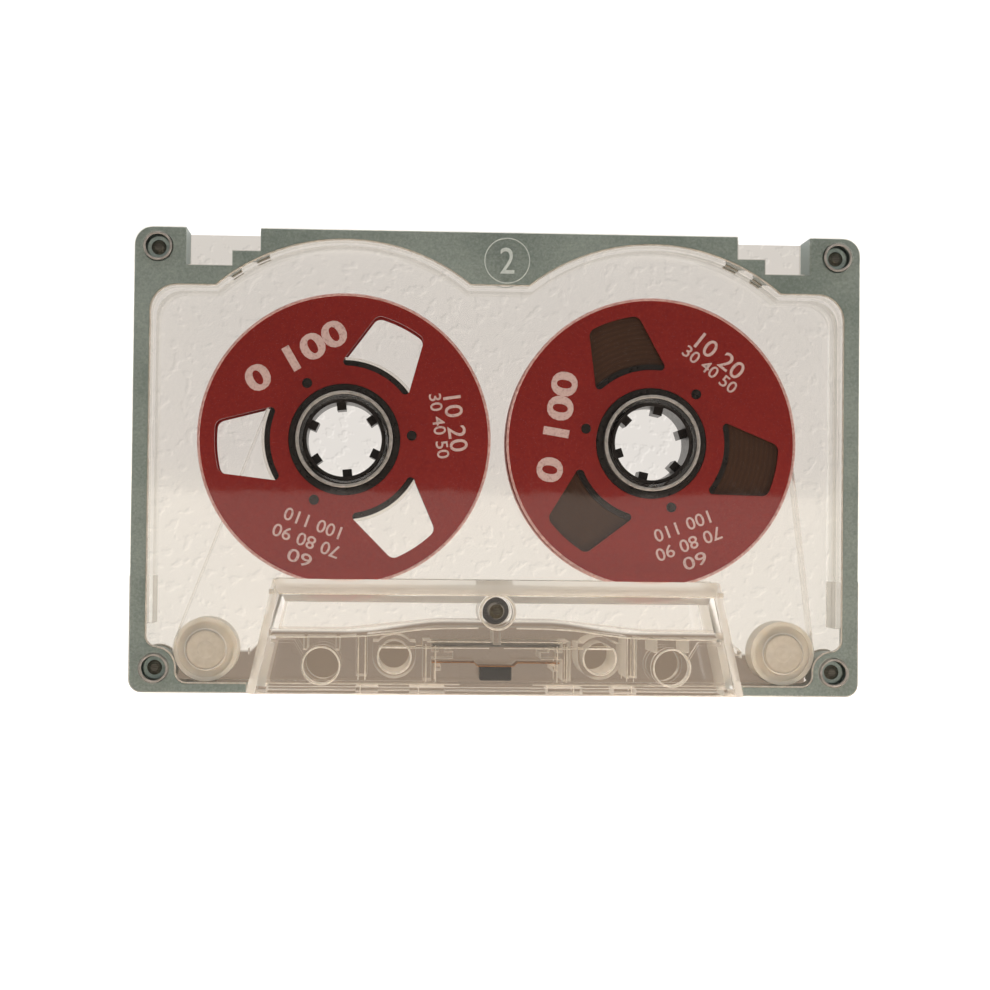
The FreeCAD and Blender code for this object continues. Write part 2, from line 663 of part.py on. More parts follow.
def screw(x, y):
    """Self-tapping screw from the rear, with a cross recess in its pan head."""
    seat = 2 * MID - BODY_IN
    tip = BODY_TOP - SCREW_SHORT_OF_FACE
    head_low = seat - SCREW_HEAD_HEIGHT
    edge = SCREW_HEAD_HEIGHT / 3
    profile = [
        (0, head_low),
        (SCREW_HEAD_R - edge, head_low),
        (SCREW_HEAD_R, head_low + edge),
        (SCREW_HEAD_R, seat),
        (SCREW_R, seat),
        (SCREW_R, tip - SCREW_TIP),
        (SCREW_R / 2, tip),
        (0, tip),
    ]
    body = turned(profile, x, y)
    long_half = CROSS_LENGTH / 2
    short_half = CROSS_WIDTH / 2
    depth = head_low + CROSS_DEPTH
    bar = block(x - long_half, x + long_half, y - short_half, y + short_half, 0, depth)
    return body.cut([bar, spun(bar, x, y, 90)])


def screws():
    places = list(CORNER_SCREWS) + [(0, MID_SCREW_Y)]
    return Part.makeCompound([screw(x, y) for x, y in places])


def clip_sector(x, window_angle, grow):
    """The wedge of the hub's rim that the clip takes up, clear of the windows."""
    inner = HUB_RIM_R + CLIP_ROOT_WALL - grow
    outer = HUB_R + CUT_REACH
    wide = math.tan(math.radians(CLIP_ANGLE / 2))
    corners = [
        (x + inner, HUB_Y - inner * wide - grow, CLIP_CORNER_R),
        (x + outer, HUB_Y - outer * wide - grow, 0),
        (x + outer, HUB_Y + outer * wide + grow, 0),
        (x + inner, HUB_Y + inner * wide + grow, CLIP_CORNER_R),
    ]
    wedge = prism(corners, 0, HEAD_THICKNESS)
    return spun(wedge, x, HUB_Y, window_angle + CLIP_BEARING)


def hub(x, window_angle, tooth_angle):
    """Toothed hub: winding rim, web, bore tube and studs that carry the flanges."""
    half_profile = [
        (HUB_TUBE_R, HUB_WEB_TOP),
        (HUB_GROOVE_R, HUB_WEB_TOP),
        (HUB_GROOVE_R, FLANGE_TOP),
        (HUB_RIM_R, FLANGE_TOP),
        (HUB_RIM_R, HUB_TOP),
        (HUB_R, HUB_TOP),
    ]
    tube_top = BODY_TOP - HUB_TUBE_SHORT
    upper = [(HUB_BORE_R, tube_top), (HUB_TUBE_R, tube_top)] + half_profile
    lower = [(radius, 2 * MID - z) for radius, z in reversed(upper)]
    body = turned(upper + lower, x, HUB_Y)
    teeth = []
    half_width = TOOTH_WIDTH / 2
    low = MID - TOOTH_LENGTH / 2
    high = MID + TOOTH_LENGTH / 2
    root = HUB_BORE_R + HUB_TUBE_WALL / 2
    y_low = HUB_Y - half_width
    y_high = HUB_Y + half_width
    tooth = block(x + TOOTH_TIP_R, x + root, y_low, y_high, low, high)
    for i in range(TOOTH_COUNT):
        teeth.append(spun(tooth, x, HUB_Y, tooth_angle + i * 360 / TOOTH_COUNT))
    stud = rod(x + STUD_CIRCLE_R, HUB_Y, STUD_R, 2 * MID - FLANGE_TOP, FLANGE_TOP)
    studs = []
    for i in range(WINDOW_COUNT):
        angle = window_angle - 180 / WINDOW_COUNT + i * 360 / WINDOW_COUNT
        studs.append(spun(stud, x, HUB_Y, angle))
    cut_away = clip_sector(x, window_angle, CLIP_GAP)
    rim_zone = rod(x, HUB_Y, HUB_R + CUT_REACH, 2 * MID - HUB_TOP, HUB_TOP)
    body = body.cut(cut_away.common(rim_zone))
    return joined([body] + teeth + studs)


def hub_clip(x, window_angle):
    """Wedge that pins the end of the tape in the hub's rim."""
    wedge = clip_sector(x, window_angle, 0)
    return wedge.common(rod(x, HUB_Y, HUB_R, TAPE_LOW, TAPE_HIGH))


def upright_edges(shape, x, near, far):
    """Edges parallel to the reel's axis whose distance from it lies in a range."""
    found = []
    for edge in shape.Edges:
        first = edge.Vertexes[0].Point
        last = edge.Vertexes[-1].Point
        rise = abs(first.z - last.z)
        spread = math.hypot(first.x - x, first.y - HUB_Y)
        if rise > FLANGE_THICKNESS / 2 and near < spread < far:
            found.append(edge)
    return found


def flange_window(x, low, high):
    """One window: arcs inside and outside, sides that close in outwards."""
    middle = (WINDOW_INNER_R + WINDOW_OUTER_R) / 2
    steep = (WINDOW_INNER_HALF - WINDOW_OUTER_HALF) / (WINDOW_OUTER_R - WINDOW_INNER_R)
    near = HUB_RIM_R
    far = WINDOW_OUTER_R + WINDOW_OUTER_RIM
    near_half = WINDOW_INNER_HALF + (WINDOW_INNER_R - near) * steep
    far_half = WINDOW_OUTER_HALF - (far - WINDOW_OUTER_R) * steep
    corners = [
        (x + near, HUB_Y - near_half, 0),
        (x + far, HUB_Y - far_half, 0),
        (x + far, HUB_Y + far_half, 0),
        (x + near, HUB_Y + near_half, 0),
    ]
    shape = prism(corners, low, high)
    shape = shape.common(tube(x, HUB_Y, WINDOW_INNER_R, WINDOW_OUTER_R, low, high))
    shape = shape.makeFillet(WINDOW_INNER_FILLET, upright_edges(shape, x, 0, middle))
    return shape.makeFillet(WINDOW_OUTER_FILLET, upright_edges(shape, x, middle, far))


def flange(x, window_angle):
    """Upper metal side of a reel, with three windows and three stud holes."""
    hole_r = HUB_RIM_R + FLANGE_GAP
    disc = tube(x, HUB_Y, hole_r, FLANGE_R, HUB_TOP, FLANGE_TOP)
    window = flange_window(x, HUB_TOP, FLANGE_TOP)
    stud_r = STUD_R + FLANGE_GAP / 2
    hole = rod(x + STUD_CIRCLE_R, HUB_Y, stud_r, HUB_TOP, FLANGE_TOP)
    cuts = []
    for i in range(WINDOW_COUNT):
        step = i * 360 / WINDOW_COUNT
        cuts.append(spun(window, x, HUB_Y, window_angle + step))
        cuts.append(spun(hole, x, HUB_Y, window_angle - 180 / WINDOW_COUNT + step))
    return disc.cut(cuts)


def wound(x, outer):
    """Turns of tape on a hub, as one ring."""
    return tube(x, HUB_Y, HUB_R + THREAD_GAP, outer, TAPE_LOW, TAPE_HIGH)


def roller(side):
    """Guide roller with a raised hub ring and a sunk face between hub and rim."""
    bore = POST_R + RUN_GAP
    hub_top = ROLLER_TOP + ROLLER_HUB_RISE
    face_top = ROLLER_TOP - ROLLER_FACE_DEPTH
    upper = [
        (bore, hub_top),
        (ROLLER_HUB_R, hub_top),
        (ROLLER_HUB_R, face_top),
        (ROLLER_R - ROLLER_RIM, face_top),
        (ROLLER_R - ROLLER_RIM, ROLLER_TOP),
        (ROLLER_R, ROLLER_TOP),
    ]
    lower = [(radius, 2 * MID - z) for radius, z in reversed(upper)]
    return turned(upper + lower, side * ROLLER_X, ROLLER_Y)


def run_points(side, pack_r, roller_r):
    """Where the tape leaves the pack, meets the roller, turns on it and leaves it."""
    pack = Vector(side * HUB_X, HUB_Y, TAPE_LOW)
    wheel = Vector(side * ROLLER_X, ROLLER_Y, TAPE_LOW)
    span = wheel - pack
    bearing = math.atan2(span.y, side * span.x)
    normal = bearing + math.acos((pack_r - roller_r) / span.Length)
    out = Vector(side * math.cos(normal), math.sin(normal), 0)
    turn = (normal - math.pi / 2) / 2
    middle = Vector(side * math.cos(turn), math.sin(turn), 0)
    down = Vector(0, -1, 0)
    return (
        pack + out * pack_r,
        wheel + out * roller_r,
        wheel + middle * roller_r,
        wheel + down * roller_r,
    )


def leader_edges(offset):
    """One face of the leader, from the left reel round both rollers to the right."""
    roller_r = ROLLER_R + RUN_GAP + offset
    left = run_points(-1, LEADER_RING_R + RUN_GAP + offset, roller_r)
    right = run_points(1, PACK_R + RUN_GAP + offset, roller_r)
    edges = [
        Part.LineSegment(left[0], left[1]).toShape(),
        Part.Arc(left[1], left[2], left[3]).toShape(),
        Part.LineSegment(left[3], right[3]).toShape(),
        Part.Arc(right[3], right[2], right[1]).toShape(),
        Part.LineSegment(right[1], right[0]).toShape(),
    ]
    return edges, left[0], right[0]


def leader_tape():
    """Clear leader between the reels, a strip with its two faces and two ends."""
    inner, inner_left, inner_right = leader_edges(0)
    outer, outer_left, outer_right = leader_edges(LEADER_THICKNESS)
    ends = [
        Part.LineSegment(inner_left, outer_left).toShape(),
        Part.LineSegment(inner_right, outer_right).toShape(),
    ]
    rim = Part.Wire(Part.__sortEdges__(inner + outer + ends))
    return Part.Face(rim).extrude(Vector(0, 0, TAPE_WIDTH))


def leaf_spring():
    """Bronze leaf with a joggled middle that carries the pad."""
    knee = PAD_WIDTH / 2 + SPRING_JOGGLE
    toe = PAD_WIDTH / 2
    front = [
        (-SPRING_END_X, SPRING_FRONT_Y, 0),
        (-knee, SPRING_FRONT_Y, SPRING_CORNER_R),
        (-toe, PAD_BACK_Y, SPRING_CORNER_R),
        (toe, PAD_BACK_Y, SPRING_CORNER_R),
        (knee, SPRING_FRONT_Y, SPRING_CORNER_R),
        (SPRING_END_X, SPRING_FRONT_Y, 0),
    ]
    back = [(x, y + SPRING_THICKNESS, radius) for x, y, radius in reversed(front)]
    short = SPRING_SHORT / 2
    return prism(front + back, TAPE_LOW + short, TAPE_HIGH - short)


def pressure_pad():
    half = PAD_WIDTH / 2 - SPRING_CORNER_R
    corners = [
        (-half, PAD_BACK_Y - PAD_DEPTH, SPRING_CORNER_R),
        (half, PAD_BACK_Y - PAD_DEPTH, SPRING_CORNER_R),
        (half, PAD_BACK_Y, 0),
        (-half, PAD_BACK_Y, 0),
    ]
    short = PAD_SHORT / 2
    return prism(corners, TAPE_LOW + short, TAPE_HIGH - short)


def magnetic_shield():
    low = MID - SHIELD_HEIGHT / 2
    high = MID + SHIELD_HEIGHT / 2
    return block(-SHIELD_X, SHIELD_X, SHIELD_FRONT_Y, SHIELD_Y, low, high)


def all_pieces():
    pieces = {
        "front_shell": front_shell(),
        "rear_shell": rear_shell(),
        "front_frame": front_frame(),
        "rear_frame": rear_frame(),
        "screws": screws(),
        "magnetic_shield": magnetic_shield(),
        "leaf_spring": leaf_spring(),
        "pressure_pad": pressure_pad(),
        "leader_tape": leader_tape(),
        "left_leader_turns": wound(-HUB_X, LEADER_RING_R),
        "right_tape_pack": wound(HUB_X, PACK_R),
    }
    reels = (
        ("left", -1, LEFT_WINDOW_ANGLE, LEFT_TOOTH_ANGLE),
        ("right", 1, RIGHT_WINDOW_ANGLE, RIGHT_TOOTH_ANGLE),
    )
    for name, side, window_angle, tooth_angle in reels:
        x = side * HUB_X
        pieces[f"{name}_hub"] = hub(x, window_angle, tooth_angle)
        pieces[f"{name}_hub_clip"] = hub_clip(x, window_angle)
        pieces[f"{name}_front_flange"] = flange(x, window_angle)
        pieces[f"{name}_rear_flange"] = to_rear(flange(x, window_angle))
        pieces[f"{name}_roller"] = roller(side)
    return pieces


os.makedirs("parts", exist_ok=True)
for node, piece in all_pieces().items():
    piece.exportStep(f"parts/{node}.step")
    print(node, len(piece.Solids), piece.isValid(), round(piece.Volume, 2))
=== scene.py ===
import math

import bpy
from mathutils import Matrix, Vector


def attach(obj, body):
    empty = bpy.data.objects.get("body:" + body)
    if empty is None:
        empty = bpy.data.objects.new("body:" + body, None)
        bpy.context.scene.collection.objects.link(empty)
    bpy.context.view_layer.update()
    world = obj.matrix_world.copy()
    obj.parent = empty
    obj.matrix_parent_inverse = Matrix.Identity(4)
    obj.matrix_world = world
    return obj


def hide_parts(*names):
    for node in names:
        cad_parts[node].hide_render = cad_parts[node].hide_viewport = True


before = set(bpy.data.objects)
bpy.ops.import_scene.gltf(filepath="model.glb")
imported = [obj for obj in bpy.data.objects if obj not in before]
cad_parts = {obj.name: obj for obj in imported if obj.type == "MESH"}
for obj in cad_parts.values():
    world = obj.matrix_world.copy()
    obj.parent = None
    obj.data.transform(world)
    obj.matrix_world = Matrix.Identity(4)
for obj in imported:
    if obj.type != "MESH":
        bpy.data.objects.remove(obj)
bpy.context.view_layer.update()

# Sizes in millimetres, in the frame of the cassette: X right, Y towards the notches,
# Z up towards the camera, with the mid-plane of the case at MID
MM = 0.001
MID = 6.0
HUB_X = 21.25
HUB_Y = 3.0
PLATE_TOP = 10.35
FRAME_TOP = 9.15
FLANGE_R = 20.0
FLANGE_TOP = 8.5
ROLLER_TOP = 8.6

# The frame's opening
OPENING_X = 48.1
OPENING_TOP_Y = 24.1
OPENING_LOW_Y = -30.7
OPENING_ARC_R = 27.7
DIP_X = 5.0
DIP_TOP_Y = 31.0
WELL_R = 2.1
SCREWS = ((47.0, 29.15), (46.8, -28.55))
RIM_IN = 0.12
RIM_DOWN = 0.16
SAME_PLACE = 0.05

# Holes and posts, and what the walls of the clear shells show
COLLAR_R = 6.42
COLLAR_ZONE_R = 9.0
HEAD_TOP_Y = -16.0
# Share of painted highlight on the head block's walls, and how strongly the other walls are let
# through straight
WALL_HIGHLIGHT_SHARE = 0.38
WALL_CALM = 2.2

# Ribs of the head block on the right side, as two corners each, with their edges at RIB_Z
RIB_Z = 9.2
BAR_HALF = 0.1
RIBS = (
    ((17.95, -30.0), (18.1, -24.0)),
    ((18.9, -30.0), (19.05, -24.0)),
    ((8.3, -30.2), (8.45, -25.2)),
    ((9.6, -30.2), (9.75, -25.2)),
    ((0.6, -24.75), (9.6, -24.6)),
    ((1.0, -25.6), (16.0, -25.48)),
    ((5.0, -30.62), (32.2, -30.5)),
    ((10.6, -31.5), (10.72, -30.6)),
    ((18.6, -31.5), (18.72, -30.6)),
)
CAPSTAN = (24.0, -27.95)
CAPSTAN_R = 2.4
LOCATOR = (14.05, -26.7)
LOCATOR_R = 2.15
LOCATOR_FLAT = 1.2
HOLE_LIP_Z = 11.82
LIP_OUT = 0.12
BEAD = 0.28
BAND_X = 31.2
BAND_LOW_Y = -18.3
BAND_TOP_Y = -17.6
BAND_Z = 11.05
DIVIDER_Z = 11.4
DIVIDER = ((2.6, -22.7), (9.0, -22.7), (14.5, -23.5), (20.0, -24.1), (30.2, -24.1))
ROLLER = (39.85, -26.0)
DISC_R = 2.5
DISC_Z = 8.86
DISC_STEPS = ((0.5, 0.0), (0.12, -0.04), (0.7, 0.0), (0.1, 0.04))
MIDDLE_SCREW = (0.0, -20.5, 11.85)
PAD_SIZE = (4.4, 1.9, 3.6)
PAD_Y = -29.125

# Rings and numbers of the two sides
MARK = (0.9, 27.9)
MARK_R = 3.1
MARK_HEIGHT = 3.6
WORD_DEPTH = 0.01
WORD_RISE = 0.012

# Prints on the flanges: words, height, width, distance from the axis
BIG_PRINT = (("0 100", 3.7, 15.5, 13.3),)
SMALL_PRINT = (("10 20", 2.5, 7.7, 15.5), ("30 40 50", 1.7, 9.0, 13.2))
FINE_PRINT = (
    ("60", 1.8, 3.4, 17.4),
    ("70 80 90", 1.8, 9.6, 14.9),
    ("100 110", 1.8, 8.2, 12.3),
)
PRINTS = (
    ("left", BIG_PRINT, 120.6),
    ("left", SMALL_PRINT, 8.8),
    ("left", FINE_PRINT, 250.0),
    ("right", BIG_PRINT, 170.8),
    ("right", SMALL_PRINT, 52.0),
    ("right", FINE_PRINT, 291.0),
)

# The patch of painted shade under the cassette, darker by the notches and towards its
# upper part, and a darker brown band in it, whose upper line bends down between two
# places and drops at its ends
SHADE_PATCH_X = 50.0
SHADE_PATCH_LOW_Y = -32.6
SHADE_PATCH_TOP_Y = 32.2
NOTCH_R = 29.1
NOTCH_Y = 26.0
STRIP_X = 44.5
STRIP_BEND_X = (7.0, 20.0)
STRIP_LINE_Y = (-21.9, -23.4)
STRIP_END_X = (31.0, 34.2)
STRIP_DROP = -3.0
FLOOR_Z = -0.02

# The camera, as the photograph was taken: turns about X, Y and Z, then a step sideways
CAMERA_TURNS = (-1.33, 2.97, -0.67)
CAMERA_SHIFT = (0.28, 4.34)
CAMERA_DISTANCE = 288.4
CAMERA_LENS = 75.1
SENSOR = 36.0


def linear(code):
    """Colour for a shader from an sRGB hex value."""
    out = []
    for i in (1, 3, 5):
        value = int(code[i : i + 2], 16) / 255
        out.append(value / 12.92 if value <= 0.04045 else ((value + 0.055) / 1.055) ** 2.4)
    return (*out, 1.0)


def add(tree, kind, sockets=None, stops=(), **settings):
    """A new node with its settings. A socket gets a value, a link or the first output
    of another node, and a colour ramp gets its (position, hex) stops."""
    made = tree.nodes.new(kind)
    for name, value in settings.items():
        setattr(made, name, value)
    for name, value in (sockets or {}).items():
        if isinstance(value, bpy.types.Node):
            value = value.outputs[0]
        if isinstance(value, bpy.types.NodeSocket):
            tree.links.new(value, made.inputs[name])
        else:
            made.inputs[name].default_value = value
    if stops:
        elements = made.color_ramp.elements
        while len(elements) < len(stops):
            elements.new(1.0)
        for element, (position, code) in zip(elements, stops):
            element.position = position
            element.color = linear(code)
    return made


def per_metre(size_mm):
    """Scale of a pattern whose features are this far apart."""
    return 1.0 / (size_mm * MM)


def on_face(face, z):
    """A height of the front, or the same height of the rear."""
    return z if face == "front" else 2 * MID - z


def new_material(name):
    """An empty material, its node tree and the object coordinates in it."""
    made = bpy.data.materials.new(name)
    made.use_nodes = True
    tree = made.node_tree
    tree.nodes.clear()
    return made, tree, add(tree, "ShaderNodeTexCoord").outputs["Object"]


def passing_light(tree, shader, code):
    """The shader, through which lamps still reach what lies behind the plastic."""
    path = add(tree, "ShaderNodeLightPath")
    rays = {0: path.outputs["Is Shadow Ray"], 1: path.outputs["Is Diffuse Ray"]}
    either = add(tree, "ShaderNodeMath", rays, operation="MAXIMUM")
    through = add(tree, "ShaderNodeBsdfTransparent", {"Color": linear(code)})
    return add(tree, "ShaderNodeMixShader", {0: either, 1: shader, 2: through})


def clear_polystyrene():
    """Injection-moulded clear polystyrene: polished faces with faint flow marks, and
    hair-fine wear that shows only as a change of gloss. On the walls and rounded edges of
    the head block, part of the surface is a pale white shader: painted highlight, standing
    in for the bright lines that the light draws along those edges. The thin wall along the
    frame is let through straight, so it hardly bends the light."""
    made, tree, point = new_material("clear_polystyrene")
    normal = add(tree, "ShaderNodeTexCoord").outputs["Normal"]
    facing = add(tree, "ShaderNodeSeparateXYZ", {"Vector": normal}).outputs["Z"]
    level = add(tree, "ShaderNodeMath", {0: facing}, operation="ABSOLUTE")
    span = {"Value": level, "From Min": 0.99, "From Max": 0.9, "To Max": WALL_HIGHLIGHT_SHARE}
    slant = add(tree, "ShaderNodeMapRange", span)
    flow = add(tree, "ShaderNodeTexNoise", {"Vector": point, "Scale": per_metre(9.0)})
    fine = {"Vector": point, "Scale": per_metre(0.8), "Detail": 5.0}
    wear = add(tree, "ShaderNodeTexNoise", fine)
    span = {"Value": wear, "From Min": 0.3, "From Max": 0.7, "To Min": 0.0, "To Max": 0.05}
    gloss = add(tree, "ShaderNodeMapRange", span)
    relief = add(tree, "ShaderNodeBump", {"Height": flow, "Distance": 0.01 * MM})
    plastic = {
        "Base Color": linear("#FEFDFC"),
        "Roughness": gloss,
        "IOR": 1.59,
        "Transmission Weight": 1.0,
        "Normal": relief,
    }
    clear = add(tree, "ShaderNodeBsdfPrincipled", plastic)
    axes = add(tree, "ShaderNodeSeparateXYZ", {"Vector": point})
    head = {0: axes.outputs["Y"], 1: HEAD_TOP_Y * MM}
    in_head = add(tree, "ShaderNodeMath", head, operation="LESS_THAN")
    share = add(tree, "ShaderNodeMath", {0: slant, 1: in_head}, operation="MULTIPLY")
    # Painted highlight: pale white diffuse and translucent shaders mixed in on the head block's
    # walls and rounded edges
    highlight_white = add(tree, "ShaderNodeBsdfDiffuse", {"Color": linear("#F4F0E8")})
    glow = add(tree, "ShaderNodeBsdfTranslucent", {"Color": linear("#F4F0E8")})
    wall_highlight = add(tree, "ShaderNodeMixShader", {0: 0.5, 1: highlight_white, 2: glow})
    with_wall_highlight = add(tree, "ShaderNodeMixShader", {0: share, 1: clear, 2: wall_highlight})
    across = add(tree, "ShaderNodeMath", {0: axes.outputs["X"]}, operation="ABSOLUTE")
    flat = add(tree, "ShaderNodeCombineXYZ", {"X": across, "Y": axes.outputs["Y"]})
    centre = {0: flat, 1: (HUB_X * MM, HUB_Y * MM, 0)}
    away = add(tree, "ShaderNodeVectorMath", centre, operation="DISTANCE").outputs["Value"]
    zone = {0: away, 1: COLLAR_ZONE_R * MM}
    off_hub = add(tree, "ShaderNodeMath", zone, operation="GREATER_THAN")
    body = add(tree, "ShaderNodeMath", {0: off_hub, 1: in_head}, operation="SUBTRACT")
    side = {0: slant, 1: body}
    thin = add(tree, "ShaderNodeMath", side, operation="MULTIPLY", use_clamp=True)
    calm = add(tree, "ShaderNodeMath", {0: thin, 1: WALL_CALM}, operation="MULTIPLY")
    straight = add(tree, "ShaderNodeBsdfTransparent", {"Color": linear("#FAF9F7")})
    walls = add(tree, "ShaderNodeMixShader", {0: calm, 1: with_wall_highlight, 2: straight})
    lit = passing_light(tree, walls, "#FAF9F7")
    add(tree, "ShaderNodeOutputMaterial", {"Surface": lit})
    return made


def pale_lip(name, dark, light):
    """Pale plastic for lips, rib edges and post discs of the same moulding, with a soft
    shine, that light soaks into. On the lips and rib edges the pale tone is painted
    highlight, standing in for the bright lines that the light draws along the edges of the
    clear moulding."""
    made, tree, point = new_material(name)
    grain = add(tree, "ShaderNodeTexNoise", {"Vector": point, "Scale": per_metre(0.7)})
    colour = add(tree, "ShaderNodeValToRGB", {"Fac": grain}, ((0.3, dark), (0.7, light)))
    span = {"Value": grain, "From Min": 0.3, "From Max": 0.7, "To Min": 0.12, "To Max": 0.25}
    gloss = add(tree, "ShaderNodeMapRange", span)
    edge = {
        "Base Color": colour,
        "Roughness": gloss,
        "IOR": 1.59,
        "Coat Weight": 0.5,
        "Coat Roughness": 0.05,
    }
    solid = add(tree, "ShaderNodeBsdfPrincipled", edge)
    glow = add(tree, "ShaderNodeBsdfTranslucent", {"Color": colour})
    both = add(tree, "ShaderNodeMixShader", {0: 0.4, 1: solid, 2: glow})
    add(tree, "ShaderNodeOutputMaterial", {"Surface": both})
    return made


def satin_grey_abs(name, dark, light):
    """Moulded ABS, blue-grey, with a fine spark-eroded grain that breaks the colour
    into small specks."""
    made, tree, point = new_material(name)
    cloud = add(tree, "ShaderNodeTexNoise", {"Vector": point, "Scale": per_metre(14.0)})
    grit = {"Vector": point, "Scale": per_metre(0.3), "Detail": 3.0}
    grain = add(tree, "ShaderNodeTexNoise", grit)
    uneven = add(tree, "ShaderNodeMath", {0: cloud, 1: grain}, operation="ADD")
    half = add(tree, "ShaderNodeMath", {0: uneven, 1: 0.5}, operation="MULTIPLY")
    result = add(tree, "ShaderNodeValToRGB", {"Fac": half}, ((0.35, dark), (0.65, light)))
    span = {"Value": grain, "From Min": 0.3, "From Max": 0.7, "To Min": 0.38, "To Max": 0.5}
    gloss = add(tree, "ShaderNodeMapRange", span)
    relief = add(
        tree, "ShaderNodeBump", {"Height": grain, "Distance": 0.012 * MM, "Strength": 0.7}
    )
    moulded = {"Base Color": result, "Roughness": gloss, "Normal": relief}
    shader = add(tree, "ShaderNodeBsdfPrincipled", moulded)
    add(tree, "ShaderNodeOutputMaterial", {"Surface": shader})
    return made


def red_anodised(name, x):
    """Aluminium sheet anodised red: satin, with fine specks and the faint circles
    that its rolling and stamping leave round the axis."""
    made, tree, point = new_material(name)
    place = {"Vector": point, "Location": (-x * MM, -HUB_Y * MM, 0)}
    centred = add(tree, "ShaderNodeMapping", place)
    lines = {"Vector": centred, "Scale": per_metre(6.0), "Distortion": 1.5, "Detail": 3.0}
    rings = add(tree, "ShaderNodeTexWave", lines, wave_type="RINGS", rings_direction="Z")
    grit = {"Vector": point, "Scale": per_metre(0.35), "Detail": 4.0}
    specks = add(tree, "ShaderNodeTexNoise", grit)
    tones = ((0.25, "#8C2223"), (0.75, "#A63128"))
    colour = add(tree, "ShaderNodeValToRGB", {"Fac": specks}, tones)
    span = {"Value": rings.outputs["Fac"], "To Min": 0.3, "To Max": 0.32}
    gloss = add(tree, "ShaderNodeMapRange", span)
    relief = add(
        tree, "ShaderNodeBump", {"Height": specks, "Distance": 0.003 * MM, "Strength": 0.4}
    )
    metal = {
        "Base Color": colour,
        "Metallic": 0.5,
        "Roughness": gloss,
        "Coat Weight": 0.5,
        "Coat Roughness": 0.15,
        "Normal": relief,
    }
    shader = add(tree, "ShaderNodeBsdfPrincipled", metal)
    add(tree, "ShaderNodeOutputMaterial", {"Surface": shader})
    return made


def flange_edge_highlight():
    """Rim of the flange in pale pink, finely mottled: painted highlight, standing in for the shine
    of its rounded edge.
    """
    made, tree, point = new_material("flange_edge_painted_highlight")
    scuff = add(tree, "ShaderNodeTexNoise", {"Vector": point, "Scale": per_metre(0.5)})
    tones = ((0.3, "#C98F88"), (0.7, "#E6C2BC"))
    colour = add(tree, "ShaderNodeValToRGB", {"Fac": scuff}, tones)
    metal = {"Base Color": colour, "Metallic": 0.35, "Roughness": 0.35}
    shader = add(tree, "ShaderNodeBsdfPrincipled", metal)
    add(tree, "ShaderNodeOutputMaterial", {"Surface": shader})
    return made


def black_acetal():
    """Moulded black hubs: smooth, slightly waxy."""
    made, tree, point = new_material("black_acetal")
    grit = {"Vector": point, "Scale": per_metre(0.5), "Detail": 4.0}
    grain = add(tree, "ShaderNodeTexNoise", grit)
    tones = ((0.3, "#14100D"), (0.7, "#201A16"))
    colour = add(tree, "ShaderNodeValToRGB", {"Fac": grain}, tones)
    span = {"Value": grain, "From Min": 0.3, "From Max": 0.7, "To Min": 0.25, "To Max": 0.4}
    gloss = add(tree, "ShaderNodeMapRange", span)
    relief = add(
        tree, "ShaderNodeBump", {"Height": grain, "Distance": 0.005 * MM, "Strength": 0.5}
    )
    acetal = {"Base Color": colour, "Roughness": gloss, "Normal": relief}
    shader = add(tree, "ShaderNodeBsdfPrincipled", acetal)
    add(tree, "ShaderNodeOutputMaterial", {"Surface": shader})
    return made


def wound_oxide_tape():
    """Side of a wound tape: dark brown oxide, with a faint ring where bundles of turns
    stand a hair higher."""
    made, tree, point = new_material("wound_oxide_tape")
    place = {"Vector": point, "Location": (-HUB_X * MM, -HUB_Y * MM, 0)}
    centred = add(tree, "ShaderNodeMapping", place)
    lines = {"Vector": centred, "Scale": per_metre(2.2), "Distortion": 1.2, "Detail": 4.0}
    wave = add(tree, "ShaderNodeTexWave", lines, wave_type="RINGS", rings_direction="Z")
    rings = wave.outputs["Fac"]
    tones = ((0.0, "#372113"), (1.0, "#402817"))
    colour = add(tree, "ShaderNodeValToRGB", {"Fac": rings}, tones)
    gloss = add(tree, "ShaderNodeMapRange", {"Value": rings, "To Min": 0.4, "To Max": 0.46})
    relief = add(
        tree, "ShaderNodeBump", {"Height": rings, "Distance": 0.004 * MM, "Strength": 0.25}
    )
    oxide = {
        "Base Color": colour,
        "Roughness": gloss,
        "Specular IOR Level": 0.3,
        "Normal": relief,
    }
    shader = add(tree, "ShaderNodeBsdfPrincipled", oxide)
    add(tree, "ShaderNodeOutputMaterial", {"Surface": shader})
    return made


def clear_film():
    """Polyester leader: thin, clear and glossy, with handling marks in its gloss."""
    made, tree, point = new_material("clear_polyester_film")
    wear = add(tree, "ShaderNodeTexNoise", {"Vector": point, "Scale": per_metre(1.2)})
    span = {"Value": wear, "From Min": 0.3, "From Max": 0.7, "To Min": 0.03, "To Max": 0.12}
    gloss = add(tree, "ShaderNodeMapRange", span)
    film = {
        "Base Color": linear("#F8F5F0"),
        "Roughness": gloss,
        "IOR": 1.57,
        "Transmission Weight": 1.0,
    }
    clear = add(tree, "ShaderNodeBsdfPrincipled", film)
    lit = passing_light(tree, clear, "#F8F5F0")
    add(tree, "ShaderNodeOutputMaterial", {"Surface": lit})
    return made


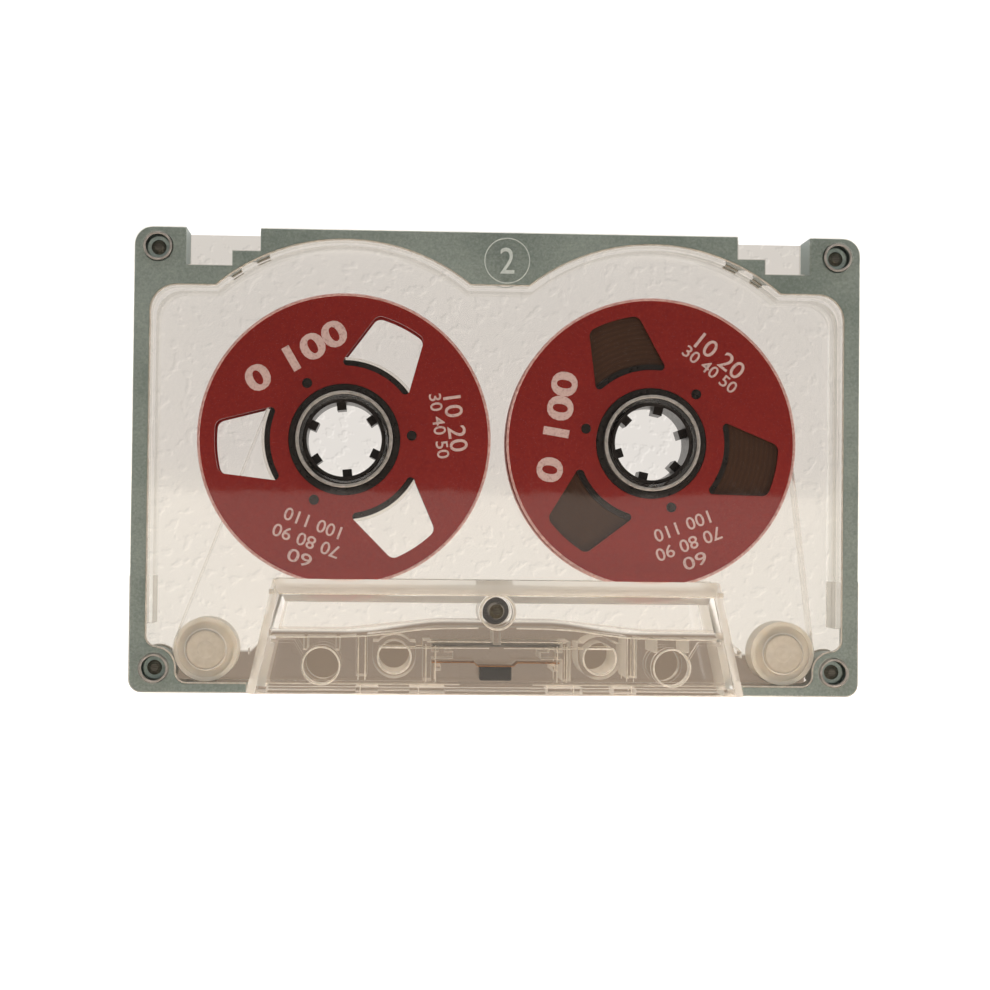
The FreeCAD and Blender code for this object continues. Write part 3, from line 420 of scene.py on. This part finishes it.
def cream_acetal(name, dark, light):
    """Natural acetal rollers: milky cream that light soaks into."""
    made, tree, point = new_material(name)
    cloud = add(tree, "ShaderNodeTexNoise", {"Vector": point, "Scale": per_metre(2.5)})
    colour = add(tree, "ShaderNodeValToRGB", {"Fac": cloud}, ((0.3, dark), (0.7, light)))
    span = {"Value": cloud, "From Min": 0.3, "From Max": 0.7, "To Min": 0.3, "To Max": 0.42}
    gloss = add(tree, "ShaderNodeMapRange", span)
    acetal = {
        "Base Color": colour,
        "Roughness": gloss,
        "Subsurface Weight": 0.4,
        "Subsurface Radius": (0.002, 0.0016, 0.0012),
        "Subsurface Scale": 1.0,
        "Transmission Weight": 0.2,
    }
    shader = add(tree, "ShaderNodeBsdfPrincipled", acetal)
    add(tree, "ShaderNodeOutputMaterial", {"Surface": shader})
    return made


def grey_wool_felt():
    """Pressed wool felt, dark grey, with loose fibres about 0.1 mm apart."""
    made, tree, point = new_material("grey_wool_felt")
    wool = {"Vector": point, "Scale": per_metre(0.12), "Detail": 4.0}
    fibres = add(tree, "ShaderNodeTexNoise", wool)
    tones = ((0.3, "#1C1B19"), (0.7, "#383734"))
    colour = add(tree, "ShaderNodeValToRGB", {"Fac": fibres}, tones)
    relief = add(tree, "ShaderNodeBump", {"Height": fibres, "Distance": 0.06 * MM})
    felt = {
        "Base Color": colour,
        "Roughness": 0.95,
        "Sheen Weight": 0.15,
        "Normal": relief,
    }
    shader = add(tree, "ShaderNodeBsdfPrincipled", felt)
    add(tree, "ShaderNodeOutputMaterial", {"Surface": shader})
    return made


def rolled_metal(name, dark, light, roughness):
    """Thin rolled strip or turned metal: fine lines along the strip and a soft shine."""
    made, tree, point = new_material(name)
    stretched = add(tree, "ShaderNodeMapping", {"Vector": point, "Scale": (0.1, 1.0, 1.0)})
    lines = add(tree, "ShaderNodeTexNoise", {"Vector": stretched, "Scale": per_metre(0.15)})
    colour = add(tree, "ShaderNodeValToRGB", {"Fac": lines}, ((0.3, dark), (0.7, light)))
    span = {
        "Value": lines,
        "From Min": 0.3,
        "From Max": 0.7,
        "To Min": roughness,
        "To Max": roughness + 0.12,
    }
    gloss = add(tree, "ShaderNodeMapRange", span)
    relief = add(
        tree, "ShaderNodeBump", {"Height": lines, "Distance": 0.003 * MM, "Strength": 0.5}
    )
    metal = {"Base Color": colour, "Metallic": 1.0, "Roughness": gloss, "Normal": relief}
    shader = add(tree, "ShaderNodeBsdfPrincipled", metal)
    add(tree, "ShaderNodeOutputMaterial", {"Surface": shader})
    return made


def pale_screen_ink():
    """Screen-printed ink on the red flanges: pale pinkish grey, worn thin in specks."""
    made, tree, point = new_material("pale_screen_ink")
    worn = {"Vector": point, "Scale": per_metre(0.3), "Detail": 4.0}
    wear = add(tree, "ShaderNodeTexNoise", worn)
    tones = ((0.25, "#B08B87"), (0.5, "#D3B6B2"))
    colour = add(tree, "ShaderNodeValToRGB", {"Fac": wear}, tones)
    ink = {"Base Color": colour, "Roughness": 0.55}
    shader = add(tree, "ShaderNodeBsdfPrincipled", ink)
    add(tree, "ShaderNodeOutputMaterial", {"Surface": shader})
    return made


def light_table():
    """Light table with white paper in low relief. Under the cassette lies a dimmer, beige
    patch of painted shade with a darker brown band in it, so the clear parts show it
    behind them; in that patch the paper's lumps are also painted lighter on one side and
    darker on the other, as painted shade of their relief."""
    made, tree, point = new_material("light_table_paper")
    axes = add(tree, "ShaderNodeSeparateXYZ", {"Vector": point})
    x = axes.outputs["X"]
    y = axes.outputs["Y"]
    across = add(tree, "ShaderNodeMath", {0: x}, operation="ABSOLUTE")

    sides = []
    # Painted shade of the lumps: two shifted copies give a lit and a shaded side, which brighten
    # and darken the glow of the shaded patch
    for offset in (0.0, 0.18 * MM):
        moved = add(tree, "ShaderNodeMapping", {"Vector": point, "Location": (offset, -offset, 0)})
        paper = {"Vector": moved, "Scale": per_metre(1.7), "Detail": 2.0}
        lumps = add(tree, "ShaderNodeTexNoise", paper)
        plateau = {"Value": lumps, "From Min": 0.54, "From Max": 0.64}
        sides.append(add(tree, "ShaderNodeMapRange", plateau, interpolation_type="SMOOTHSTEP"))
    slope = add(tree, "ShaderNodeMath", {0: sides[0], 1: sides[1]}, operation="SUBTRACT")
    shade = {"Value": slope, "From Min": -1.0, "To Min": 0.86, "To Max": 1.14}
    relief_shade = add(tree, "ShaderNodeMapRange", shade)
    paper_relief = {"Height": sides[0], "Distance": 0.05 * MM, "Strength": 0.5}
    relief = add(tree, "ShaderNodeBump", paper_relief)

    # Painted shade under the cassette: darker towards its upper part, and darker still by the
    # notches
    fade = {"Value": y, "From Min": -7.0 * MM, "From Max": 2.0 * MM}
    height = add(tree, "ShaderNodeMapRange", fade, interpolation_type="SMOOTHSTEP")
    tones = ((0.0, "#EDE8DF"), (0.5, "#E2DDD7"), (1.0, "#CDC7C0"))
    by_notch = add(tree, "ShaderNodeMath", {0: y, 1: NOTCH_Y * MM}, operation="GREATER_THAN")
    flat = add(tree, "ShaderNodeCombineXYZ", {"X": across, "Y": y})
    centre = {0: flat, 1: (HUB_X * MM, HUB_Y * MM, 0)}
    away = add(tree, "ShaderNodeVectorMath", centre, operation="DISTANCE").outputs["Value"]
    arc = {"Value": away, "From Min": (NOTCH_R - 0.3) * MM, "From Max": (NOTCH_R + 0.3) * MM}
    outside = add(tree, "ShaderNodeMapRange", arc)
    notch = add(tree, "ShaderNodeMath", {0: by_notch, 1: outside}, operation="MULTIPLY")
    both = add(tree, "ShaderNodeMath", {0: height, 1: notch}, operation="ADD")
    half_way = add(tree, "ShaderNodeMath", {0: both, 1: 0.5}, operation="MULTIPLY")
    shade_colour = add(tree, "ShaderNodeValToRGB", {"Fac": half_way}, tones)
    papers = []
    for base, glow, strength in (
        ("#F6F4F1", linear("#FFFFFF"), 0.75),
        ("#625F5A", shade_colour, relief_shade),
        ("#463C33", linear("#7F7264"), 1.0),
    ):
        sockets = {
            "Base Color": linear(base),
            "Roughness": 0.9,
            "Emission Color": glow,
            "Emission Strength": strength,
            "Normal": relief,
        }
        papers.append(add(tree, "ShaderNodeBsdfPrincipled", sockets))
    table, shade_patch, brown = papers

    bend = {
        "Value": across,
        "From Min": STRIP_BEND_X[0] * MM,
        "From Max": STRIP_BEND_X[1] * MM,
        "To Min": STRIP_LINE_Y[0] * MM,
        "To Max": STRIP_LINE_Y[1] * MM,
    }
    line = add(tree, "ShaderNodeMapRange", bend, interpolation_type="SMOOTHSTEP")
    drop = {
        "Value": across,
        "From Min": STRIP_END_X[0] * MM,
        "From Max": STRIP_END_X[1] * MM,
        "To Min": 0.0,
        "To Max": STRIP_DROP * MM,
    }
    end = add(tree, "ShaderNodeMapRange", drop)
    upper = add(tree, "ShaderNodeMath", {0: line, 1: end}, operation="ADD")
    below = add(tree, "ShaderNodeMath", {0: upper, 1: y}, operation="SUBTRACT")
    soft = add(tree, "ShaderNodeMapRange", {"Value": below, "From Max": 0.4 * MM})
    in_length = add(tree, "ShaderNodeMath", {0: across, 1: STRIP_X * MM}, operation="LESS_THAN")
    strip = add(tree, "ShaderNodeMath", {0: soft, 1: in_length}, operation="MULTIPLY")
    wide = add(tree, "ShaderNodeMath", {0: across, 1: SHADE_PATCH_X * MM}, operation="LESS_THAN")
    middle = (SHADE_PATCH_TOP_Y + SHADE_PATCH_LOW_Y) / 2 * MM
    half = (SHADE_PATCH_TOP_Y - SHADE_PATCH_LOW_Y) / 2 * MM
    tall = add(tree, "ShaderNodeMath", {0: y, 1: middle, 2: half}, operation="COMPARE")
    under = add(tree, "ShaderNodeMath", {0: wide, 1: tall}, operation="MULTIPLY")
    lower = add(tree, "ShaderNodeMixShader", {0: strip, 1: shade_patch, 2: brown})
    whole = add(tree, "ShaderNodeMixShader", {0: under, 1: table, 2: lower})
    add(tree, "ShaderNodeOutputMaterial", {"Surface": whole})
    return made


def dress(node, material):
    """Puts a material on a CAD node in place of its own."""
    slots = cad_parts[node].data.materials
    slots.clear()
    slots.append(material)


def dress_nodes():
    clear = clear_polystyrene()
    grey = satin_grey_abs("satin_grey_abs", "#75837E", "#98A4A0")
    hub = black_acetal()
    cream = cream_acetal("natural_acetal", "#E0D8C8", "#ECE5D8")
    film = clear_film()
    dress("front_shell", clear)
    dress("rear_shell", clear)
    dress("front_frame", grey)
    dress("rear_frame", grey)
    dress("screws", rolled_metal("plated_screw_steel", "#5B5952", "#827F75", 0.35))
    dress("magnetic_shield", rolled_metal("nickel_iron_sheet", "#6A6862", "#8B8982", 0.3))
    dress("leaf_spring", rolled_metal("phosphor_bronze", "#9C6B3F", "#C08B58", 0.25))
    dress("leader_tape", film)
    dress("left_leader_turns", film)
    dress("right_tape_pack", wound_oxide_tape())
    for side, x in (("left", -HUB_X), ("right", HUB_X)):
        red = red_anodised(f"red_anodised_{side}", x)
        dress(f"{side}_hub", hub)
        dress(f"{side}_hub_clip", hub)
        dress(f"{side}_front_flange", red)
        dress(f"{side}_rear_flange", red)
        dress(f"{side}_roller", cream)


def settle(piece, name, material, body):
    """A finished piece: its place goes into its mesh, and it rides on its body."""
    bpy.ops.object.select_all(action="DESELECT")
    piece.select_set(True)
    bpy.context.view_layer.objects.active = piece
    bpy.ops.object.transform_apply(location=True, rotation=True, scale=True)
    piece.name = name
    piece.data.name = name
    piece.data.materials.clear()
    piece.data.materials.append(material)
    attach(piece, body)
    return piece


def lip(name, place_mm, radius, width, height, material, body):
    """Round bead that runs once round a hole, a hub or a disc."""
    bpy.ops.object.select_all(action="DESELECT")
    bpy.ops.mesh.primitive_torus_add(
        location=Vector(place_mm) * MM,
        major_radius=radius * MM,
        minor_radius=width / 2 * MM,
        major_segments=96,
        minor_segments=12,
    )
    ring = bpy.context.object
    bpy.ops.transform.resize(value=(1, 1, height / width))
    bpy.ops.object.shade_smooth()
    return settle(ring, name, material, body)


def line_to_bead(piece, thickness):
    """Gives a line of edges a round section."""
    bpy.ops.object.select_all(action="DESELECT")
    piece.select_set(True)
    bpy.context.view_layer.objects.active = piece
    bpy.ops.object.convert(target="CURVE")
    line = bpy.context.object
    line.data.bevel_depth = thickness / 2 * MM
    line.data.bevel_resolution = 2
    line.data.use_fill_caps = True
    bpy.ops.object.convert(target="MESH")
    bpy.ops.object.shade_smooth()
    return bpy.context.object


def post_disc(name, place_mm, material):
    """Flat collar on a roller post, with the two sunk circles of its mould."""
    bpy.ops.object.select_all(action="DESELECT")
    bpy.ops.mesh.primitive_cylinder_add(
        vertices=64, radius=DISC_R * MM, depth=0.2 * MM, location=Vector(place_mm) * MM
    )
    disc = bpy.context.object
    bpy.ops.object.mode_set(mode="EDIT")
    bpy.ops.mesh.select_mode(type="FACE")
    bpy.ops.mesh.select_all(action="DESELECT")
    bpy.ops.object.mode_set(mode="OBJECT")
    for face in disc.data.polygons:
        face.select = abs(face.normal.z) > 0.9
    bpy.ops.object.mode_set(mode="EDIT")
    for width, depth in DISC_STEPS:
        bpy.ops.mesh.inset(thickness=width * MM, depth=depth * MM)
    bpy.ops.object.mode_set(mode="OBJECT")
    bpy.ops.object.shade_smooth_by_angle(angle=math.radians(20))
    settle(disc, name, material, "case")


def locator_lip(name, sign, z, material):
    """Bead round a D-shaped hole: a ring whose top is pressed flat."""
    bpy.ops.object.select_all(action="DESELECT")
    place = Vector((sign * LOCATOR[0], LOCATOR[1], z)) * MM
    radius = LOCATOR_R + 0.1
    bpy.ops.mesh.primitive_circle_add(vertices=64, radius=radius * MM, location=place)
    ring = bpy.context.object
    for vertex in ring.data.vertices:
        vertex.co.y = min(vertex.co.y, (LOCATOR_FLAT + 0.1) * MM)
    settle(line_to_bead(ring, BEAD), name, material, "case")


def bar(name, low, high, thickness, material):
    """Rounded edge of a rib: a block drawn between two corners with its edges
    bevelled."""
    bpy.ops.object.select_all(action="DESELECT")
    low = Vector(low)
    high = Vector(high)
    bpy.ops.mesh.primitive_cube_add(size=1.0, location=(low + high) / 2 * MM)
    block = bpy.context.object
    block.scale = (high - low) * MM
    bpy.ops.object.transform_apply(location=False, rotation=False, scale=True)
    bpy.ops.object.mode_set(mode="EDIT")
    bpy.ops.mesh.select_all(action="SELECT")
    bpy.ops.mesh.bevel(offset=thickness * 0.4 * MM, segments=3)
    bpy.ops.object.mode_set(mode="OBJECT")
    bpy.ops.object.shade_smooth()
    settle(block, name, material, "case")


def on_opening(point):
    """Whether a point of the frame, in millimetres, lies on the rim of its opening."""
    x = abs(point.x)
    y = point.y
    if abs(point.z - FRAME_TOP) > 0.01 and abs(point.z - (2 * MID - FRAME_TOP)) > 0.01:
        return False
    if y < OPENING_LOW_Y - SAME_PLACE or y > DIP_TOP_Y:
        return False
    if any(math.hypot(x - sx, y - sy) < WELL_R + 0.3 for sx, sy in SCREWS):
        return False
    in_straight = x < OPENING_X + SAME_PLACE and y < OPENING_TOP_Y + SAME_PLACE
    in_arc = math.hypot(x - HUB_X, y - HUB_Y) < OPENING_ARC_R + SAME_PLACE
    return in_straight or in_arc or x < DIP_X


def opening_lip(side, material):
    """Bright rim of the frame's opening, where its edge is rounded: the rim's edges
    are taken from a copy of the frame and given a round section."""
    bpy.ops.object.select_all(action="DESELECT")
    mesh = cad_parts[f"{side}_frame"].data.copy()
    rim = bpy.data.objects.new(f"{side}_opening_lip", mesh)
    bpy.context.scene.collection.objects.link(rim)
    rim.select_set(True)
    bpy.context.view_layer.objects.active = rim
    bpy.ops.object.mode_set(mode="EDIT")
    bpy.ops.mesh.select_mode(type="EDGE")
    bpy.ops.mesh.select_all(action="SELECT")
    bpy.ops.mesh.remove_doubles(threshold=0.001 * MM)
    bpy.ops.mesh.select_all(action="DESELECT")
    bpy.ops.object.mode_set(mode="OBJECT")
    level = set()
    upright = set()
    for face in mesh.polygons:
        if abs(face.normal.z) > 0.9:
            level.update(face.edge_keys)
        elif abs(face.normal.z) < 0.1:
            upright.update(face.edge_keys)
    for edge in mesh.edges:
        ends = [mesh.vertices[i].co / MM for i in edge.vertices]
        rims = edge.key in level and edge.key in upright
        edge.select = rims and all(on_opening(point) for point in ends)
    bpy.ops.object.mode_set(mode="EDIT")
    bpy.ops.mesh.select_all(action="INVERT")
    bpy.ops.mesh.delete(type="EDGE")
    bpy.ops.object.mode_set(mode="OBJECT")
    rim.scale = (1 - RIM_IN / OPENING_X, 1 - RIM_IN / OPENING_ARC_R, 1)
    rim.location.z = (-RIM_DOWN if side == "front" else RIM_DOWN) * MM
    bpy.ops.object.transform_apply(location=True, rotation=False, scale=True)
    bead = line_to_bead(rim, BEAD)
    settle(bead, f"{side}_opening_lip", material, "case")


def divider_lip(sign, material):
    """Lower edge of the bent wall over the head space, on one side."""
    bpy.ops.object.select_all(action="DESELECT")
    bpy.ops.curve.primitive_nurbs_path_add(location=(0, 0, 0))
    path = bpy.context.object
    spline = path.data.splines[0]
    for point, (x, y) in zip(spline.points, DIVIDER):
        point.co = (sign * x * MM, y * MM, DIVIDER_Z * MM, 1.0)
    spline.order_u = 3
    spline.use_endpoint_u = True
    path.data.bevel_depth = 0.11 * MM
    path.data.bevel_resolution = 2
    path.data.use_fill_caps = True
    bpy.ops.object.convert(target="MESH")
    bpy.ops.object.shade_smooth()
    side = "right" if sign > 0 else "left"
    settle(bpy.context.object, f"{side}_divider_lip", material, "case")


def flat_words(name, words, height, width, z, boldness):
    """Words as a thin mesh, centred on the axis Z, with their foot at height z."""
    bpy.ops.object.select_all(action="DESELECT")
    bpy.ops.object.text_add(location=(0, 0, 0))
    text = bpy.context.object
    text.data.body = words
    text.data.size = height / 0.7 * MM
    text.data.offset = boldness * MM
    text.data.extrude = WORD_DEPTH * MM
    text.data.resolution_u = 4
    bpy.ops.object.convert(target="MESH")
    text = bpy.context.object
    bpy.ops.object.origin_set(type="ORIGIN_GEOMETRY", center="BOUNDS")
    text.location = (0, 0, 0)
    text.scale = (width * MM / text.dimensions.x, height * MM / text.dimensions.y, 1)
    bpy.ops.object.transform_apply(location=True, rotation=True, scale=True)
    text.location = (0, 0, (z + WORD_RISE) * MM)
    text.name = name
    return text


def print_flanges():
    """Plain numbers in pale ink on both flanges, with their tops outwards."""
    ink = pale_screen_ink()
    for side, lines, angle in PRINTS:
        centre = -HUB_X if side == "left" else HUB_X
        for i, (words, height, width, radius) in enumerate(lines):
            bold = 0.18 if lines is BIG_PRINT else 0.02
            name = f"{side}_print_{round(angle)}_{i}"
            text = flat_words(name, words, height, width, FLANGE_TOP, bold)
            turn = math.radians(angle)
            text.location.x = (centre + radius * math.cos(turn)) * MM
            text.location.y = (HUB_Y + radius * math.sin(turn)) * MM
            text.rotation_euler.z = turn - math.pi / 2
            settle(text, name, ink, f"{side}_reel")


def side_numbers(material):
    """Raised plain number and ring on each face: 2 in front, 1 behind."""
    for face, words in (("front", "2"), ("rear", "1")):
        name = f"{face}_number"
        text = flat_words(name, words, MARK_HEIGHT, MARK_HEIGHT * 0.55, PLATE_TOP, 0.0)
        if face == "rear":
            text.location.z = on_face(face, PLATE_TOP + WORD_RISE) * MM
            text.rotation_euler.y = math.pi
        text.location.x = MARK[0] * MM
        text.location.y = MARK[1] * MM
        settle(text, name, material, "case")
        place = (*MARK, on_face(face, PLATE_TOP))
        lip(f"{face}_mark_ring", place, MARK_R, 0.14, 0.06, material, "case")


def felt_pad():
    """Felt block with soft edges and an uneven, fibrous surface."""
    bpy.ops.object.select_all(action="DESELECT")
    bpy.ops.mesh.primitive_cube_add(size=1.0, location=Vector((0, PAD_Y, MID)) * MM)
    pad = bpy.context.object
    pad.scale = Vector(PAD_SIZE) * MM
    bpy.ops.object.transform_apply(location=False, rotation=False, scale=True)
    bpy.ops.object.mode_set(mode="EDIT")
    bpy.ops.mesh.select_all(action="SELECT")
    bpy.ops.mesh.bevel(offset=0.22 * MM, segments=2)
    bpy.ops.mesh.select_all(action="SELECT")
    bpy.ops.mesh.subdivide(number_cuts=9)
    bpy.ops.object.mode_set(mode="OBJECT")
    crown = Vector(PAD_SIZE) / 2 * MM
    for vertex in pad.data.vertices:
        share = abs(vertex.co.x) / crown.x
        vertex.co.z *= 1 - 0.03 * share * share
    bpy.ops.object.mode_set(mode="EDIT")
    bpy.ops.mesh.select_all(action="SELECT")
    bpy.ops.transform.vertex_random(offset=0.025 * MM, seed=7)
    bpy.ops.object.mode_set(mode="OBJECT")
    bpy.ops.object.shade_smooth()
    settle(pad, "felt_pad", grey_wool_felt(), "pad")
    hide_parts("pressure_pad")


def add_trim():
    """Edges that the light picks out: lips round the holes, ribs of the head block,
    rims of the flanges and rings of the rollers."""
    # Painted highlight: the pale lips, bands and rib edges, the greyish collar and well lips and
    # the pale pink flange rims stand in for the bright lines that the light draws along these
    # edges
    edge_highlight = pale_lip("polystyrene_edge_painted_highlight", "#DDD6CA", "#F3EFE8")
    grey = pale_lip("greyish_lip_painted_highlight", "#A39E97", "#C4BFB9")
    flange_highlight = flange_edge_highlight()
    pale = cream_acetal("natural_acetal_ring", "#EFE9DD", "#FAF6EE")
    post = pale_lip("clouded_polystyrene_post", "#E2DACB", "#EDE6D9")
    for face in ("front", "rear"):
        opening_lip(face, edge_highlight)
        rib_z = on_face(face, RIB_Z)
        for side, sign in (("left", -1), ("right", 1)):
            name = f"{face}_{side}"
            collar = (sign * HUB_X, HUB_Y, on_face(face, PLATE_TOP))
            lip(f"{name}_collar_lip", collar, COLLAR_R, 0.5, 0.3, grey, "case")
            reel = f"{side}_reel"
            edge = (sign * HUB_X, HUB_Y, on_face(face, FLANGE_TOP))
            lip(f"{name}_flange_edge", edge, FLANGE_R, 0.36, 0.1, flange_highlight, reel)
            for i, (low, high) in enumerate(RIBS):
                ends = sorted((sign * low[0], sign * high[0]))
                start = (ends[0], low[1], rib_z - BAR_HALF)
                end = (ends[1], high[1], rib_z + BAR_HALF)
                bar(f"{name}_rib_edge_{i}", start, end, 0.12, edge_highlight)
            for i, (x, y) in enumerate(SCREWS):
                well = (sign * x, y, on_face(face, PLATE_TOP - 0.15))
                lip(f"{name}_well_lip_{i}", well, 1.81, 0.34, 0.24, grey, "case")
            disc = (sign * ROLLER[0], ROLLER[1], on_face(face, DISC_Z))
            post_disc(f"{name}_post_disc", disc, post)
        band_z = on_face(face, BAND_Z)
        low = (-BAND_X, BAND_LOW_Y, band_z - BAR_HALF)
        high = (BAND_X, BAND_TOP_Y, band_z + BAR_HALF)
        bar(f"{face}_head_band", low, high, 0.2, edge_highlight)
    for side, sign in (("left", -1), ("right", 1)):
        hole = (sign * CAPSTAN[0], CAPSTAN[1], HOLE_LIP_Z)
        hole_r = CAPSTAN_R + LIP_OUT
        lip(f"{side}_capstan_lip", hole, hole_r, BEAD, BEAD, edge_highlight, "case")
        locator_lip(f"{side}_locator_lip", sign, HOLE_LIP_Z, edge_highlight)
        divider_lip(sign, edge_highlight)
        roller = (sign * ROLLER[0], ROLLER[1], ROLLER_TOP)
        body = f"{side}_roller_body"
        lip(f"{side}_roller_ring", roller, 2.78, 0.26, 0.2, pale, body)
    lip("middle_screw_lip", MIDDLE_SCREW, 2.35, 0.32, 0.26, edge_highlight, "case")


def add_floor():
    bpy.ops.object.select_all(action="DESELECT")
    bpy.ops.mesh.primitive_plane_add(size=6.0, location=(0, 0, FLOOR_Z * MM))
    floor = bpy.context.object
    floor.name = "floor"
    floor.data.materials.append(light_table())


def area_light(name, place_mm, size_mm, power, colour="#FFFFFF"):
    """Soft panel that looks at the middle of the cassette."""
    bpy.ops.object.light_add(type="AREA", location=Vector(place_mm) * MM)
    lamp = bpy.context.object
    lamp.name = name
    lamp.data.shape = "RECTANGLE"
    lamp.data.size = size_mm[0] * MM
    lamp.data.size_y = size_mm[1] * MM
    lamp.data.energy = power
    lamp.data.color = linear(colour)[:3]
    aim = Vector((0, 0, 0)) - lamp.location
    lamp.rotation_euler = aim.to_track_quat("-Z", "Y").to_euler()
    return lamp


def room_light():
    """World that is bright near the horizon and dim overhead, where the camera is."""
    world = bpy.data.worlds.new("room")
    bpy.context.scene.world = world
    world.use_nodes = True
    tree = world.node_tree
    tree.nodes.clear()
    direction = add(tree, "ShaderNodeTexCoord").outputs["Generated"]
    height = add(tree, "ShaderNodeSeparateXYZ", {"Vector": direction}).outputs["Z"]
    tones = ((0.0, "#D2CCC4"), (0.6, "#D2CCC4"), (0.84, "#3A3835"))
    colour = add(tree, "ShaderNodeValToRGB", {"Fac": height}, tones)
    shader = add(tree, "ShaderNodeBackground", {"Color": colour})
    add(tree, "ShaderNodeOutputWorld", {"Surface": shader})


def add_lights():
    """A weak panel behind the camera that mirrors in the lower half of the plate, a
    soft panel beyond the notches, one on each side and a low one in front. Light may
    be thrown about inside the clear block as often as it is in the real one."""
    panel = area_light("window_panel", (60, -190, 600), (700, 400), 0.4, "#FFF3E8")
    panel.rotation_euler = (0, 0, 0)
    area_light("soft_top", (0, 620, 700), (600, 400), 1.7)
    area_light("soft_left", (-700, -50, 500), (400, 600), 0.5)
    area_light("soft_right", (750, -60, 500), (400, 600), 1.5)
    area_light("low_front", (40, -180, 110), (220, 60), 0.3, "#FFE9D4")
    scene = bpy.context.scene
    scene.cycles.max_bounces = 32
    scene.cycles.glossy_bounces = 16
    scene.cycles.transmission_bounces = 32
    scene.cycles.transparent_max_bounces = 24
    scene.view_settings.view_transform = "Standard"


def add_camera():
    turn = Matrix.Identity(3)
    for angle, axis in zip(CAMERA_TURNS, "XYZ"):
        turn = Matrix.Rotation(math.radians(angle), 3, axis) @ turn
    back = turn.transposed()
    step = Vector((-CAMERA_SHIFT[0], -CAMERA_SHIFT[1], CAMERA_DISTANCE))
    bpy.ops.object.camera_add()
    camera = bpy.context.object
    camera.name = "photo_camera"
    camera.location = (back @ step + Vector((0, 0, MID))) * MM
    camera.rotation_euler = back.to_euler()
    camera.data.lens = CAMERA_LENS
    camera.data.sensor_width = SENSOR
    camera.data.clip_start = 0.01
    bpy.context.scene.camera = camera


dress_nodes()
add_trim()
print_flanges()
# The number and ring are a lighter grey than the frame: painted highlight of their raised strokes
side_numbers(satin_grey_abs("grey_mark_painted_highlight", "#AFB7B2", "#C8CFCA"))
felt_pad()
add_floor()
room_light()
add_lights()
add_camera()
